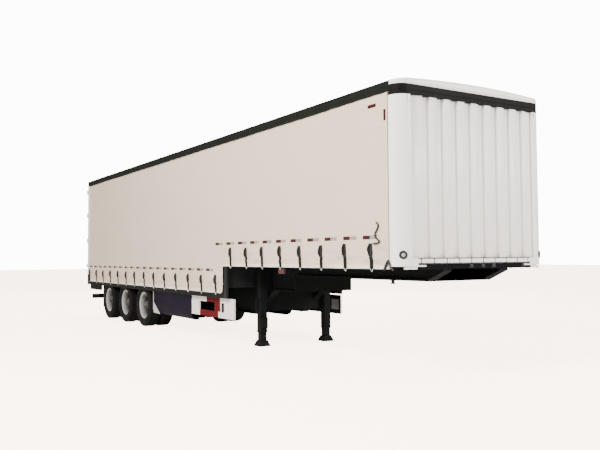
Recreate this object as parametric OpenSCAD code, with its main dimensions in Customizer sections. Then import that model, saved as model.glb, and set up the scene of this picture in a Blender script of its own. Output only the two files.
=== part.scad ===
// Three-axle drop-deck curtain-side semi trailer, in millimetres.
// X points to the towing end, Y to the trailer's left and Z up. The origin is on the ground,
// under the middle of the body.

/* [Body] */
// Overall length, from the front wall to the rear hinge pins
body_length = 13700; // [13600:50:13900]
// Overall width over the roof rails
body_width = 2550; // [2540:2:2600]
// Height of the roof crown above the ground
body_height = 3750; // [3730:5:3800]
// Distance from the front wall back to the step in the floor
neck_length = 4850; // [4800:10:4900]
// Height of the floor over the neck
neck_floor_z = 1500; // [1495:1:1510]
// Height of the floor over the wheels
deck_floor_z = 1100; // [1095:1:1110]
// Thickness of the plywood floor
floor_t = 28; // [21:1:30]
// Thickness of the front wall at a ridge
wall_t = 44; // [40:1:50]
// Corner radius of the body in plan
corner_r = 166; // [150:1:180]

/* [Chassis] */
// Distance between the webs of the two main beams
beam_spacing = 1000; // [980:5:1010]
// Width of the main beam flanges
flange_w = 140; // [120:2:144]
// Thickness of the main beam flanges
flange_t = 16; // [12:1:20]
// Distance from the front wall back to the landing legs
leg_setback = 4500; // [4450:10:4520]
// Distance from the front wall back to the kingpin
kingpin_setback = 1700; // [1600:10:1750]
// Height of the coupler plate's underside
coupler_z = 1230; // [1215:1:1240]

/* [Running gear] */
// Radius of a tyre
tyre_r = 480; // [474:1:482]
// Width of one tyre
tyre_w = 276; // [266:1:278]
// Distance between the two tyres of a pair
twin_pitch = 311; // [305:1:316]
// Distance from the front wall back to the first axle
first_axle_setback = 9170; // [9150:5:9250]
// Distance between axles
axle_pitch = 1310; // [1300:5:1320]
// Radius of the stub axle inside the hub
spindle_r = 45; // [42:1:48]
// Running clearance of the hub on the stub axle
spindle_gap = 0.08; // [0.04:0.01:0.1]

/* [Curtains] */
// Thickness of the curtain with its folds and hem
curtain_t = 10; // [6:1:12]
// Height of the hem over the neck
neck_hem_z = 1400; // [1390:1:1410]
// Height of the hem over the wheels
deck_hem_z = 920; // [900:1:930]

/* [Rear doors] */
// Thickness of a door
door_t = 40; // [36:1:42]
// Distance that the hinge pin stands behind the door's outer face
hinge_offset = 75; // [75:1:80]
// Radius of a hinge pin
hinge_pin_r = 8; // [7:1:9]
// Running clearance of a hinge knuckle on its pin
hinge_gap = 0.08; // [0.04:0.01:0.1]
// Gap between the two doors
door_gap = 12; // [12:1:16]

/* [Hidden] */
$fn = 48;

front_x = body_length / 2;
rear_x = -body_length / 2;
half_w = body_width / 2;
step_x = front_x - neck_length;

// heights of the frame
neck_under_z = neck_floor_z - floor_t;
deck_under_z = deck_floor_z - floor_t;
neck_member_h = 80;
deck_member_h = 60;
neck_beam_top = neck_under_z - neck_member_h;
deck_beam_top = deck_under_z - deck_member_h;
coupler_t = 8;
neck_beam_bottom = coupler_z + coupler_t;
drop_bottom = 970;
deck_beam_bottom = 520;
axle_beam_bottom = 650;
rear_beam_bottom = 740;
sill_bottom = 830;
rail_bottom = deck_floor_z - 270;
neck_rail_bottom = neck_floor_z - 115;
roof_rail_z = 3570;
roof_rail_h = 126;
header_z = 3510;
header_h = 130;

// places along the body
sill_t = 6;
riser_half = 10;
drop_x = front_x - 3540;
beam_front_x = front_x - 20;
frame_rear_x = rear_x + 142;
sill_x = frame_rear_x + 108;
leg_x = front_x - leg_setback;
kingpin_x = front_x - kingpin_setback;
axle_xs = [for (i = [0:2]) front_x - first_axle_setback - i * axle_pitch];
deck_member_xs = [for (i = [0:16]) rear_x + 450 + 500 * i];
neck_member_xs = [for (i = [0:8]) step_x + 300 + 500 * i];

// places across the body
rail_y = half_w - 35;
rail_t = 8;
rail_box_y = half_w - 115;
curtain_y = half_w - 20;
post_y = half_w - 90;
roof_rail_in_y = half_w - 80;
beam_y = beam_spacing / 2;
web_t = 10;
corner_y = half_w - corner_r;
corner_x = front_x - corner_r;
wall_x = front_x - sill_t;
post_x = corner_x - 24;
wall_half = corner_y - 29;

// doors and hinges
door_outer_x = rear_x + 95;
hinge_x = door_outer_x - hinge_offset;
hinge_lug_r = 15;
hinge_y = half_w - hinge_lug_r;
hinge_zs = [1350, 2050, 2750, 3400];
knuckle_h = 60;
lug_h = 20;
lug_gap = 5;
door_bottom = 1050;
door_top = 3640;
door_edge_y = hinge_y - 45;

// wheels
outer_tyre_y = half_w - 60 - tyre_w / 2;
inner_tyre_y = outer_tyre_y - twin_pitch;
disc_y = (outer_tyre_y + inner_tyre_y) / 2;
rim_r = 274;
rim_flange_r = 300;
rim_half = 105;
hub_in_y = inner_tyre_y - 126;
hub_end_y = disc_y + 88;
spindle_end_y = hub_end_y - 6;
axle_tube_r = 63.5;

// landing legs
leg_y = 670;
leg_w = 130;
foot_h = 100;
shaft_z = 1050;

module both_sides() {
    children();
    mirror([0, 1, 0]) children();
}

// a flat outline in X and Z, standing from y0 to y1
module across(y0, y1) {
    translate([0, y1, 0]) rotate([90, 0, 0]) linear_extrude(y1 - y0) children();
}

// a flat outline in Y and Z, running from x0 to x1
module along(x0, x1) {
    translate([x0, 0, 0]) rotate([90, 0, 90]) linear_extrude(x1 - x0) children();
}

module block(x0, x1, y0, y1, z0, z1) {
    translate([x0, y0, z0]) cube([x1 - x0, y1 - y0, z1 - z0]);
}

// a round bar along Y, from y0 to y1
module round_y(x, z, y0, y1, r) {
    translate([x, y0, z]) rotate([-90, 0, 0]) cylinder(r = r, h = y1 - y0);
}

function i_outline(w, h, tf, tw) = [
    [-w / 2, 0], [w / 2, 0], [w / 2, tf], [tw / 2, tf], [tw / 2, h - tf], [w / 2, h - tf],
    [w / 2, h], [-w / 2, h], [-w / 2, h - tf], [-tw / 2, h - tf], [-tw / 2, tf], [-w / 2, tf]];

// ---- chassis ----

beam_outline = [
    [beam_front_x, neck_beam_top], [beam_front_x, 1365], [beam_front_x - 300, neck_beam_bottom],
    [drop_x, neck_beam_bottom], [drop_x, drop_bottom], [leg_x + 250, drop_bottom],
    [leg_x - 450, deck_beam_bottom], [axle_xs[0] + 1170, deck_beam_bottom],
    [axle_xs[0] + 820, axle_beam_bottom], [axle_xs[2] - 760, axle_beam_bottom],
    [sill_x + 300, rear_beam_bottom], [sill_x, rear_beam_bottom], [sill_x, deck_beam_top],
    [step_x + riser_half, deck_beam_top], [step_x + riser_half, neck_beam_top]];

// the points of an outline moved inwards by t, each along the mitre of its two sides
function inward(p, q) = [q[1] - p[1], p[0] - q[0]] / norm(q - p);
function inset(points, t) = let (n = len(points)) [for (i = [0:n - 1]) let (
    before = inward(points[(i + n - 1) % n], points[i]),
    after = inward(points[i], points[(i + 1) % n]))
    points[i] + (before + after) * t / (1 + before * after)];

module main_beams() {
    color("#1a1d1e") {
        both_sides() difference() {
            union() {
                across(beam_y - web_t / 2, beam_y + web_t / 2) polygon(beam_outline);
                across(beam_y - flange_w / 2, beam_y + flange_w / 2) difference() {
                    polygon(beam_outline);
                    polygon(inset(beam_outline, flange_t));
                }
            }
            round_y(leg_x, shaft_z, beam_y - 40, beam_y + 40, 30);
        }
        // closing plate where the neck drops, and two tie plates between the beams
        block(drop_x - flange_t, drop_x, -beam_y + flange_w / 2, beam_y - flange_w / 2,
            drop_bottom, neck_beam_bottom);
        block(step_x + riser_half, step_x + riser_half + flange_t, -beam_y + flange_w / 2,
            beam_y - flange_w / 2, deck_beam_top, neck_beam_top - 20);
        block(sill_x, sill_x + flange_t, -beam_y + flange_w / 2, beam_y - flange_w / 2,
            rear_beam_bottom, deck_beam_top);
    }
}

module cross_members() {
    color("#1c1f20") {
        for (x = neck_member_xs) translate([x, 0, neck_beam_top])
            across(-rail_box_y, rail_box_y) polygon(i_outline(60, neck_member_h, 6, 6));
        for (x = deck_member_xs) translate([x, 0, deck_beam_top])
            across(-rail_box_y, rail_box_y) polygon(i_outline(60, deck_member_h, 6, 6));
    }
}

// each rail is an angle: a web that hangs at the side and a box under the floor's edge
module rail_outline(bottom, box_bottom, top) {
    translate([rail_y - rail_t, bottom]) square([rail_t, top - bottom]);
    translate([rail_box_y, box_bottom]) square([rail_y - rail_box_y, top - box_bottom]);
}

module side_rails() {
    color("#17191a") both_sides() {
        along(step_x + riser_half, post_x)
            rail_outline(neck_rail_bottom, neck_beam_top, neck_under_z);
        along(sill_x, step_x - riser_half) rail_outline(rail_bottom, deck_beam_top, deck_under_z);
    }
}

module neck_floor() {
    inside_x = wall_x - wall_t;
    color("#8a6b4a") translate([0, 0, neck_under_z]) linear_extrude(floor_t) polygon([
        [step_x - riser_half, -rail_y], [post_x, -rail_y], [post_x, -wall_half],
        [inside_x, -wall_half], [inside_x, wall_half], [post_x, wall_half],
        [post_x, rail_y], [step_x - riser_half, rail_y]]);
}

module deck_floor() {
    color("#8a6b4a") block(sill_x, step_x - riser_half, -rail_y, rail_y, deck_under_z, deck_floor_z);
}

module step_riser() {
    color("#3a3d3f") {
        block(step_x - riser_half, step_x + riser_half, -rail_y, rail_y, deck_beam_top, neck_under_z);
        both_sides() block(step_x - riser_half, step_x + 90, rail_y - 40, rail_y, rail_bottom,
            neck_rail_bottom);
    }
}

module coupler_plate() {
    color("#2a2c2e") difference() {
        block(front_x - 2300, front_x - 320, -beam_y - 60, beam_y + 60, coupler_z,
            coupler_z + coupler_t);
        translate([kingpin_x, 0, coupler_z - 1]) cylinder(r = 38, h = coupler_t + 2);
    }
}

// two-inch kingpin: collar, neck and lower flange below the plate, base flange above it
module kingpin() {
    color("silver") translate([kingpin_x, 0, 0]) {
        translate([0, 0, coupler_z + coupler_t]) cylinder(r = 75, h = 14);
        translate([0, 0, coupler_z]) cylinder(r = 37.5, h = coupler_t);
        translate([0, 0, coupler_z - 35]) cylinder(r = 36.5, h = 35);
        translate([0, 0, coupler_z - 70]) cylinder(r = 25.4, h = 35);
        translate([0, 0, coupler_z - 84]) cylinder(r = 35.7, h = 14);
    }
}

// ---- front end ----

flute_pitch = 237;
flute_mouth = 124;
flute_floor = 74;
flute_depth = 32;
flute_count = 8;
sill_half = 985;
sill_rail_top = 1530;

// plan outline of the wall: flat inside, with recessed flutes outside
module wall_outline() {
    x0 = wall_x - wall_t;
    first = -(flute_count - 1) / 2 * flute_pitch;
    flute = [[0, -flute_mouth / 2], [-flute_depth, -flute_floor / 2],
        [-flute_depth, flute_floor / 2], [0, flute_mouth / 2]];
    polygon(concat([[x0, -wall_half], [wall_x, -wall_half]],
        [for (i = [0:flute_count - 1], corner = flute) corner + [wall_x, first + i * flute_pitch]],
        [[wall_x, wall_half], [x0, wall_half]]));
}

module front_wall() {
    color("#e2dfda") translate([0, 0, neck_under_z]) linear_extrude(header_z - neck_under_z)
        wall_outline();
}

// a quarter ring in plan that rounds the left front corner
module corner_ring(t) {
    translate([corner_x, corner_y]) intersection() {
        difference() {
            circle(r = corner_r, $fn = 96);
            circle(r = corner_r - t, $fn = 96);
        }
        square(corner_r + 1);
    }
}

// rounded post with a foot that reaches under the wall to the sill rail
module front_corner_posts() {
    post_z = 1430;
    post_t = 40;
    color("#e8e6e1") both_sides() {
        translate([0, 0, post_z]) linear_extrude(header_z - post_z) {
            corner_ring(post_t);
            translate([front_x - post_t, wall_half]) square([post_t, corner_y - wall_half]);
            translate([post_x, half_w - post_t]) square([corner_x - post_x, post_t]);
        }
        block(wall_x, front_x, sill_half, wall_half, post_z, sill_rail_top);
    }
}

module front_sill_rail() {
    color("#dcd8d2") block(wall_x, front_x, -sill_half, sill_half, 1460, sill_rail_top);
}

module front_beam() {
    color("#222029")
        block(front_x - 90, front_x - 10, -wall_half, wall_half, neck_beam_top, neck_under_z);
}

module front_header() {
    color("#3b3839") translate([0, 0, header_z]) linear_extrude(header_h) {
        translate([front_x - 60, -corner_y]) square([60, 2 * corner_y]);
        both_sides() corner_ring(60);
    }
}

// ---- roof ----

module roof_side_rails() {
    color("#202322") both_sides() difference() {
        block(sill_x, corner_x, roof_rail_in_y, half_w, roof_rail_z, roof_rail_z + roof_rail_h);
        block(sill_x - 1, corner_x + 1, roof_rail_in_y + 8, half_w - 8, roof_rail_z + 10,
            roof_rail_z + roof_rail_h - 8);
    }
}

roof_t = 4;
roof_half = half_w - 13;
roof_edge_z = roof_rail_z + roof_rail_h + roof_t;
roof_rise = body_height - roof_edge_z;
roof_steps = 12;
lip_t = 30;

function roof_z(y) = roof_edge_z + roof_rise * (1 - pow(y / roof_half, 2));
roof_ys = [for (i = [0:roof_steps]) roof_half * (2 * i / roof_steps - 1)];

module roof_outline() {
    polygon(concat([for (y = roof_ys) [y, roof_z(y)]],
        [for (i = [roof_steps:-1:0]) [roof_ys[i], roof_z(roof_ys[i]) - roof_t]]));
}

// end view of the upright lip, up to the top of the bowed sheet
module lip_outline() {
    bottom = header_z + header_h;
    polygon(concat([[-half_w, bottom], [-half_w, roof_edge_z]],
        [for (y = roof_ys) [y, roof_z(y)]], [[half_w, roof_edge_z], [half_w, bottom]]));
}

// rounded plan outline of the body's front end
module roof_plan() {
    translate([frame_rear_x, -half_w]) square([corner_x - frame_rear_x, body_width]);
    translate([corner_x, -corner_y]) square([corner_r, 2 * corner_y]);
    both_sides() translate([corner_x, corner_y]) circle(r = corner_r, $fn = 96);
}

module roof_skin() {
    color("#e9e5df") {
        intersection() {
            along(frame_rear_x, front_x) roof_outline();
            translate([0, 0, roof_edge_z - 60]) linear_extrude(200) roof_plan();
        }
        intersection() {
            along(corner_x, front_x) lip_outline();
            translate([0, 0, header_z + header_h]) linear_extrude(body_height) {
                translate([front_x - lip_t, -corner_y]) square([lip_t, 2 * corner_y]);
                both_sides() corner_ring(lip_t);
            }
        }
    }
}

module roof_bows() {
    color("#8d9194") for (i = [0:8])
        block(front_x - 900 - i * 1450, front_x - 860 - i * 1450, -roof_rail_in_y,
            roof_rail_in_y, roof_edge_z - 60, roof_edge_z - 10);
}

// ---- sides ----

module side_posts() {
    color("#9aa0a4") both_sides() {
        block(front_x - 2560, front_x - 2440, post_y, rail_y, neck_floor_z, roof_rail_z);
        block(step_x + riser_half, step_x + 130, post_y, rail_y, neck_floor_z, roof_rail_z);
        for (x = [-1000, -3800]) block(x - 60, x + 60, post_y, rail_y, deck_floor_z, roof_rail_z);
    }
}

// outline in X and Z: the hem steps down behind the neck, with a rounded lower front corner
module curtain_outline() {
    front_edge = corner_x - 26;
    rear_edge = sill_x + 10;
    drop_edge = step_x - 20;
    round_r = 70;
    polygon(concat(
        [[rear_edge, deck_hem_z]],
        [for (a = [-90:15:0]) [drop_edge - round_r + round_r * cos(a),
            deck_hem_z + round_r + round_r * sin(a)]],
        [[drop_edge, neck_hem_z], [front_edge, neck_hem_z], [front_edge, roof_rail_z],
            [rear_edge, roof_rail_z]]));
}

module curtain() {
    across(curtain_y - curtain_t, curtain_y) curtain_outline();
}

module curtain_right() {
    color("#d9cfc6") mirror([0, 1, 0]) curtain();
}

module curtain_left() {
    color("#d9cfc6") curtain();
}

module curtain_poles() {
    pole_r = 17;
    pole_y = post_y + 30;
    color("#6f7477") both_sides() {
        translate([corner_x - 50, pole_y, neck_floor_z]) cylinder(r = pole_r,
            h = roof_rail_z - neck_floor_z);
        translate([sill_x + 40, pole_y, deck_floor_z]) cylinder(r = pole_r,
            h = roof_rail_z - deck_floor_z);
    }
}

// ---- rear end ----

module rear_posts() {
    color("#e5e2dc") both_sides()
        block(frame_rear_x, sill_x, half_w - 110, half_w, deck_floor_z, roof_rail_z);
}

module rear_header() {
    color("#202322")
        block(frame_rear_x, sill_x, -half_w, half_w, roof_rail_z, roof_rail_z + roof_rail_h);
}

module rear_sill() {
    color("#1b1d1e") block(frame_rear_x, sill_x, -half_w, half_w, sill_bottom, deck_floor_z);
}

// fixed lugs on the rear posts, each pair joined by its pin
module door_hinges() {
    color("#7b7f82") both_sides() for (z = hinge_zs) {
        for (dz = [-knuckle_h / 2 - lug_gap - lug_h, knuckle_h / 2 + lug_gap])
            translate([0, 0, z + dz]) {
                translate([hinge_x, hinge_y, 0]) cylinder(r = hinge_lug_r, h = lug_h);
                translate([hinge_x, hinge_y - hinge_lug_r, 0])
                    cube([frame_rear_x - hinge_x, 2 * hinge_lug_r, lug_h]);
            }
        translate([hinge_x, hinge_y, z - knuckle_h / 2 - lug_gap - lug_h])
            cylinder(r = hinge_pin_r, h = knuckle_h + 2 * (lug_gap + lug_h));
    }
}

// a door leaf with four hinge straps that reach back round the pins
module rear_door() {
    strap_t = 12;
    difference() {
        union() {
            block(door_outer_x, door_outer_x + door_t, door_gap / 2, door_edge_y, door_bottom,
                door_top);
            for (z = hinge_zs) translate([0, 0, z - knuckle_h / 2]) linear_extrude(knuckle_h) {
                translate([hinge_x, hinge_y]) circle(r = hinge_lug_r);
                polygon([[door_outer_x, door_edge_y - 160], [door_outer_x, door_edge_y],
                    [hinge_x + 10, hinge_y + 10], [hinge_x - 10, hinge_y - 10],
                    [door_outer_x - strap_t, door_edge_y - 40],
                    [door_outer_x - strap_t, door_edge_y - 160]]);
            }
        }
        translate([hinge_x, hinge_y, door_bottom]) cylinder(r = hinge_pin_r + hinge_gap,
            h = door_top - door_bottom);
    }
}

module rear_door_right() {
    color("#e5e2dc") mirror([0, 1, 0]) rear_door();
}

module rear_door_left() {
    color("#e5e2dc") rear_door();
}

// two upright lock bars on a door, with their guides and folded handles
module lock_gear() {
    bar_x = door_outer_x - 26;
    guide_zs = [1110, 1560, 2350, 3050, 3570];
    handle_z = 1700;
    // each bar's place across the door, and where its handle ends
    for (bar = [[260, 20], [900, 510]]) {
        y = bar[0];
        tip_y = bar[1];
        translate([bar_x, y, door_bottom + 12]) cylinder(r = 13.5,
            h = door_top - door_bottom - 24);
        for (z = guide_zs) block(bar_x - 10, door_outer_x, y - 24, y + 24, z - 25, z + 25);
        block(bar_x - 18, bar_x - 6, tip_y + 10, y + 12, handle_z, handle_z + 32);
        block(bar_x - 12, door_outer_x, tip_y, tip_y + 50, handle_z - 10, handle_z + 42);
    }
}

module lock_gear_right() {
    color("#9da1a3") mirror([0, 1, 0]) lock_gear();
}

module lock_gear_left() {
    color("#9da1a3") lock_gear();
}

// ---- under the floor ----

// foot of a landing leg: a square plate that tapers up to the tube
module leg_foot() {
    foot_half = 108;
    outline = [[-foot_half, 0], [foot_half, 0], [foot_half, 12], [leg_w / 2 + 6, foot_h],
        [-leg_w / 2 - 6, foot_h], [-foot_half, 12]];
    intersection() {
        across(-foot_half, foot_half) polygon(outline);
        along(-foot_half, foot_half) polygon(outline);
    }
}

module landing_legs() {
    leg_top = neck_beam_top - 32;
    tube_bottom = 240;
    inner_w = 112;
    plate_x = leg_x - leg_w / 2;
    inner_y = leg_y - leg_w / 2;
    brace_bottom = 600;
    brace_top = 750;
    plate_half = beam_y - flange_w / 2 - 5;
    crank_z = 830;
    color("#222526") {
        both_sides() {
            translate([leg_x, leg_y, 0]) {
                translate([-leg_w / 2, -leg_w / 2, tube_bottom])
                    cube([leg_w, leg_w, leg_top - tube_bottom]);
                translate([-inner_w / 2, -inner_w / 2, foot_h])
                    cube([inner_w, inner_w, tube_bottom - foot_h]);
                leg_foot();
            }
            block(leg_x - 100, leg_x + 100, beam_y + web_t / 2, inner_y, 1000, leg_top);
        }
        // cross plate between the legs, narrower where it passes between the main beams
        along(plate_x, plate_x + 12) polygon([[-inner_y, brace_bottom], [inner_y, brace_bottom],
            [inner_y, brace_top], [plate_half, brace_top], [plate_half, 1150],
            [-plate_half, 1150], [-plate_half, brace_top], [-inner_y, brace_top]]);
        round_y(leg_x, shaft_z, -inner_y, inner_y, 20);
        // drive box in front of the right leg, and the crank folded down beside it
        block(leg_x + leg_w / 2, leg_x + leg_w / 2 + 45, -leg_y - 55, -leg_y + 55, 320, 500);
        round_y(leg_x, crank_z, -leg_y - leg_w / 2 - 60, -leg_y - leg_w / 2, 13);
        block(leg_x - 13, leg_x + 13, -leg_y - leg_w / 2 - 60, -leg_y - leg_w / 2 - 34,
            crank_z - 200, crank_z);
    }
}

guard_y = half_w - 130;
guard_t = 30;
guard_rear_x = front_x - 6500;

module side_guards() {
    low = 460;
    high = 820;
    color("#ece6e2") both_sides() {
        across(guard_y - guard_t, guard_y) difference() {
            translate([guard_rear_x, low]) square([1850, high - low]);
            translate([guard_rear_x + 350, low + 110]) square([700, 160]);
            translate([guard_rear_x + 1300, low + 100]) square([150, 170]);
        }
        for (x = [deck_member_xs[14], deck_member_xs[16]])
            block(x - 25, x + 25, guard_y - guard_t - 30, guard_y - guard_t, high - 120,
                deck_beam_top);
    }
}

// hanging panel whose lower edge turns inwards on a round
module side_panels() {
    panel_y = half_w - 125;
    panel_t = 30;
    bend_r = 110;
    low = 330;
    front = guard_rear_x - 5;
    rear = axle_xs[0] + 520;
    bend = [for (a = [0:15:90]) [cos(a), sin(a)]];
    color("#34293f") both_sides() {
        along(rear, front) polygon(concat(
            [[panel_y - panel_t, deck_beam_top - 12], [panel_y, deck_beam_top - 12]],
            [for (b = bend) [panel_y - bend_r + bend_r * b[0], low + bend_r - bend_r * b[1]]],
            [[panel_y - bend_r - 60, low], [panel_y - bend_r - 60, low + panel_t]],
            [for (i = [6:-1:0]) [panel_y - bend_r + (bend_r - panel_t) * bend[i][0],
                low + bend_r - (bend_r - panel_t) * bend[i][1]]]));
        for (i = [10, 12, 13])
            block(deck_member_xs[i] - 30, deck_member_xs[i] + 30, panel_y - panel_t - 40,
                panel_y - panel_t, deck_beam_top - 200, deck_beam_top);
    }
}

module rear_side_bars() {
    color("#1b1d1e") both_sides() {
        block(sill_x, front_x - 12500, half_w - 95, half_w - 55, 700, 825);
        for (i = [0, 1])
            block(deck_member_xs[i] - 20, deck_member_xs[i] + 20, half_w - 175, half_w - 95,
                700, deck_beam_top);
    }
}

module rear_bumper() {
    color("#1b1d1e") {
        block(frame_rear_x + 18, frame_rear_x + 118, -half_w + 125, half_w - 125, 440, 560);
        both_sides() block(frame_rear_x + 28, sill_x + 40, beam_y - 60, beam_y + 60, 560,
            rear_beam_bottom);
    }
}

module lamps() {
    lens_r = 42;
    lens_a = 33;
    color("#9c2b2b") both_sides()
        block(frame_rear_x - 36, frame_rear_x, half_w - 475, half_w - 95, 870, 985);
    color("#d8d8d8") both_sides() translate([corner_x, corner_y, 1570]) difference() {
        rotate([0, 90, lens_a]) cylinder(r = lens_r, h = corner_r + 8);
        translate([0, 0, -100]) cylinder(r = corner_r + 0.2, h = 200, $fn = 96);
    }
}

// ---- running gear ----

module axles() {
    shield_y = hub_in_y - 40;
    color("#2b2e30") for (x = axle_xs) {
        round_y(x, tyre_r, -shield_y - 12, shield_y + 12, axle_tube_r);
        both_sides() {
            round_y(x, tyre_r, shield_y, spindle_end_y, spindle_r);
            round_y(x, tyre_r, shield_y, shield_y + 12, 185);
            // brake chamber ahead of the tube, on its bracket
            block(x + 40, x + 120, 270, 330, tyre_r - 20, tyre_r + 40);
            translate([x + 110, 300, tyre_r + 10]) rotate([0, 90, 0]) cylinder(r = 72, h = 150);
        }
    }
}

// hangers under the beams and trailing arms under the tubes
module suspension_arms() {
    eye_z = 430;
    color("#303335") for (x = axle_xs) both_sides() {
        for (y = [beam_y - 45, beam_y + 35]) across(y, y + 10) polygon([
            [x + 560, axle_beam_bottom], [x + 400, axle_beam_bottom], [x + 430, eye_z - 50],
            [x + 530, eye_z - 50]]);
        block(x + 530, x + 545, beam_y - 35, beam_y + 35, eye_z, axle_beam_bottom);
        difference() {
            across(beam_y - 30, beam_y + 30) polygon([
                [x + 520, eye_z + 40], [x + 440, eye_z + 40], [x + 100, tyre_r - 40],
                [x - 100, tyre_r - 40], [x - 300, eye_z - 10], [x - 540, eye_z - 10],
                [x - 540, eye_z - 40], [x - 320, eye_z - 60], [x - 90, tyre_r - 130],
                [x + 90, tyre_r - 130], [x + 440, eye_z - 40], [x + 520, eye_z - 40]]);
            round_y(x, tyre_r, beam_y - 31, beam_y + 31, axle_tube_r);
        }
        round_y(x + 480, eye_z, beam_y - 60, beam_y + 60, 18);
    }
}

module air_springs() {
    seat_z = 420;
    bag_h = axle_beam_bottom - seat_z;
    color("#26282a") for (x = axle_xs) both_sides() translate([x - 430, beam_y, seat_z])
        rotate_extrude($fn = 72) polygon([[0, 0], [62, 0], [62, 26], [88, 40], [102, 62],
            [105, bag_h / 2], [102, bag_h - 48], [92, bag_h - 30], [92, bag_h], [0, bag_h]]);
}

module air_tanks() {
    tank_r = 120;
    tank_z = 700;
    x0 = deck_member_xs[14] - 200;
    x1 = deck_member_xs[15] + 200;
    color("#222526") both_sides() {
        translate([x0, 180, tank_z]) rotate([0, 90, 0]) cylinder(r = tank_r, h = x1 - x0);
        for (i = [14, 15])
            block(deck_member_xs[i] - 20, deck_member_xs[i] + 20, 150, 210, tank_z + 100,
                deck_beam_top);
    }
}

module mud_flaps() {
    flap_x = axle_xs[2] - 620;
    color("#202224") both_sides()
        block(flap_x - 4, flap_x + 4, 640, rail_box_y, 260, deck_under_z);
}

// one side's pair of wheels with hub and brake drum, turned about the axle line.
// Each ring's outline is drawn as radius against distance from the centre line.
module ring(points) {
    rotate([-90, 0, 0]) rotate_extrude($fn = 96) polygon(points);
}

function box_ring(r0, r1, y0, y1) = [[r0, y0], [r1, y0], [r1, y1], [r0, y1]];

// a rim with its two flanges, and the dished disc that bolts to the hub; side is 1 outside
module rim(side) {
    rim_y = disc_y + side * twin_pitch / 2;
    in_r = rim_r - 12;
    near = rim_y - rim_half;
    far = rim_y + rim_half;
    ring([[in_r, near], [rim_flange_r, near], [rim_flange_r, near + 12], [rim_r, near + 12],
        [rim_r, far - 12], [rim_flange_r, far - 12], [rim_flange_r, far], [in_r, far]]);
    bend = [[140, disc_y], [200, disc_y], [240, disc_y + side * 30],
        [in_r + 4, disc_y + side * 62], [in_r + 4, disc_y + side * 80],
        [228, disc_y + side * 42], [192, disc_y + side * 12], [140, disc_y + side * 12]];
    ring(side > 0 ? bend : [for (i = [len(bend) - 1:-1:0]) bend[i]]);
}

module wheel(x) {
    translate([x, 0, tyre_r]) difference() {
        union() {
            rim(1);
            rim(-1);
            ring([[40, hub_in_y], [105, hub_in_y], [105, disc_y - 46], [190, disc_y - 46],
                [190, hub_in_y + 5], [210, hub_in_y + 5], [210, disc_y - 26],
                [170, disc_y - 26], [170, disc_y - 12], [150, disc_y - 12],
                [150, disc_y + 12], [110, disc_y + 24], [110, hub_end_y], [40, hub_end_y]]);
            ring([[0, hub_end_y], [84, hub_end_y], [84, hub_end_y + 50],
                [60, hub_end_y + 74], [0, hub_end_y + 74]]);
        }
        rotate([-90, 0, 0]) translate([0, 0, hub_in_y - 1])
            cylinder(r = spindle_r + spindle_gap, h = hub_end_y + 1 - hub_in_y);
    }
}

// tyre section: bead seat, sidewall, shoulder and tread
module tyre(x, y) {
    half = tyre_w / 2;
    seat = rim_half - 12;
    side = [[rim_r, seat], [rim_flange_r, seat], [rim_flange_r + 2, rim_half],
        [340, half - 7], [385, half], [425, half - 5], [tyre_r - 24, half - 16],
        [tyre_r - 7, half - 28], [tyre_r, half - 44]];
    translate([x, y, tyre_r]) rotate([-90, 0, 0]) rotate_extrude($fn = 96)
        polygon(concat(side, [for (i = [len(side) - 1:-1:0]) [side[i][0], -side[i][1]]]));
}

module tyres(x) {
    tyre(x, outer_tyre_y);
    tyre(x, inner_tyre_y);
}

module wheel_right(i) {
    color("#e6e4e2") mirror([0, 1, 0]) wheel(axle_xs[i]);
}

module wheel_left(i) {
    color("#e6e4e2") wheel(axle_xs[i]);
}

module tyres_right(i) {
    color("#26292a") mirror([0, 1, 0]) tyres(axle_xs[i]);
}

module tyres_left(i) {
    color("#26292a") tyres(axle_xs[i]);
}

main_beams();
cross_members();
side_rails();
neck_floor();
deck_floor();
step_riser();
coupler_plate();
kingpin();
front_wall();
front_corner_posts();
front_sill_rail();
front_beam();
front_header();
roof_side_rails();
roof_skin();
roof_bows();
side_posts();
curtain_right();
curtain_left();
curtain_poles();
rear_posts();
rear_header();
rear_sill();
door_hinges();
rear_door_right();
rear_door_left();
lock_gear_right();
lock_gear_left();
landing_legs();
side_guards();
side_panels();
rear_side_bars();
rear_bumper();
lamps();
axles();
suspension_arms();
air_springs();
air_tanks();
mud_flaps();
wheel_right(0);  // wheel_right_1
wheel_right(1);  // wheel_right_2
wheel_right(2);  // wheel_right_3
wheel_left(0);  // wheel_left_1
wheel_left(1);  // wheel_left_2
wheel_left(2);  // wheel_left_3
tyres_right(0);  // tyres_right_1
tyres_right(1);  // tyres_right_2
tyres_right(2);  // tyres_right_3
tyres_left(0);  // tyres_left_1
tyres_left(1);  // tyres_left_2
tyres_left(2);  // tyres_left_3
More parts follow.
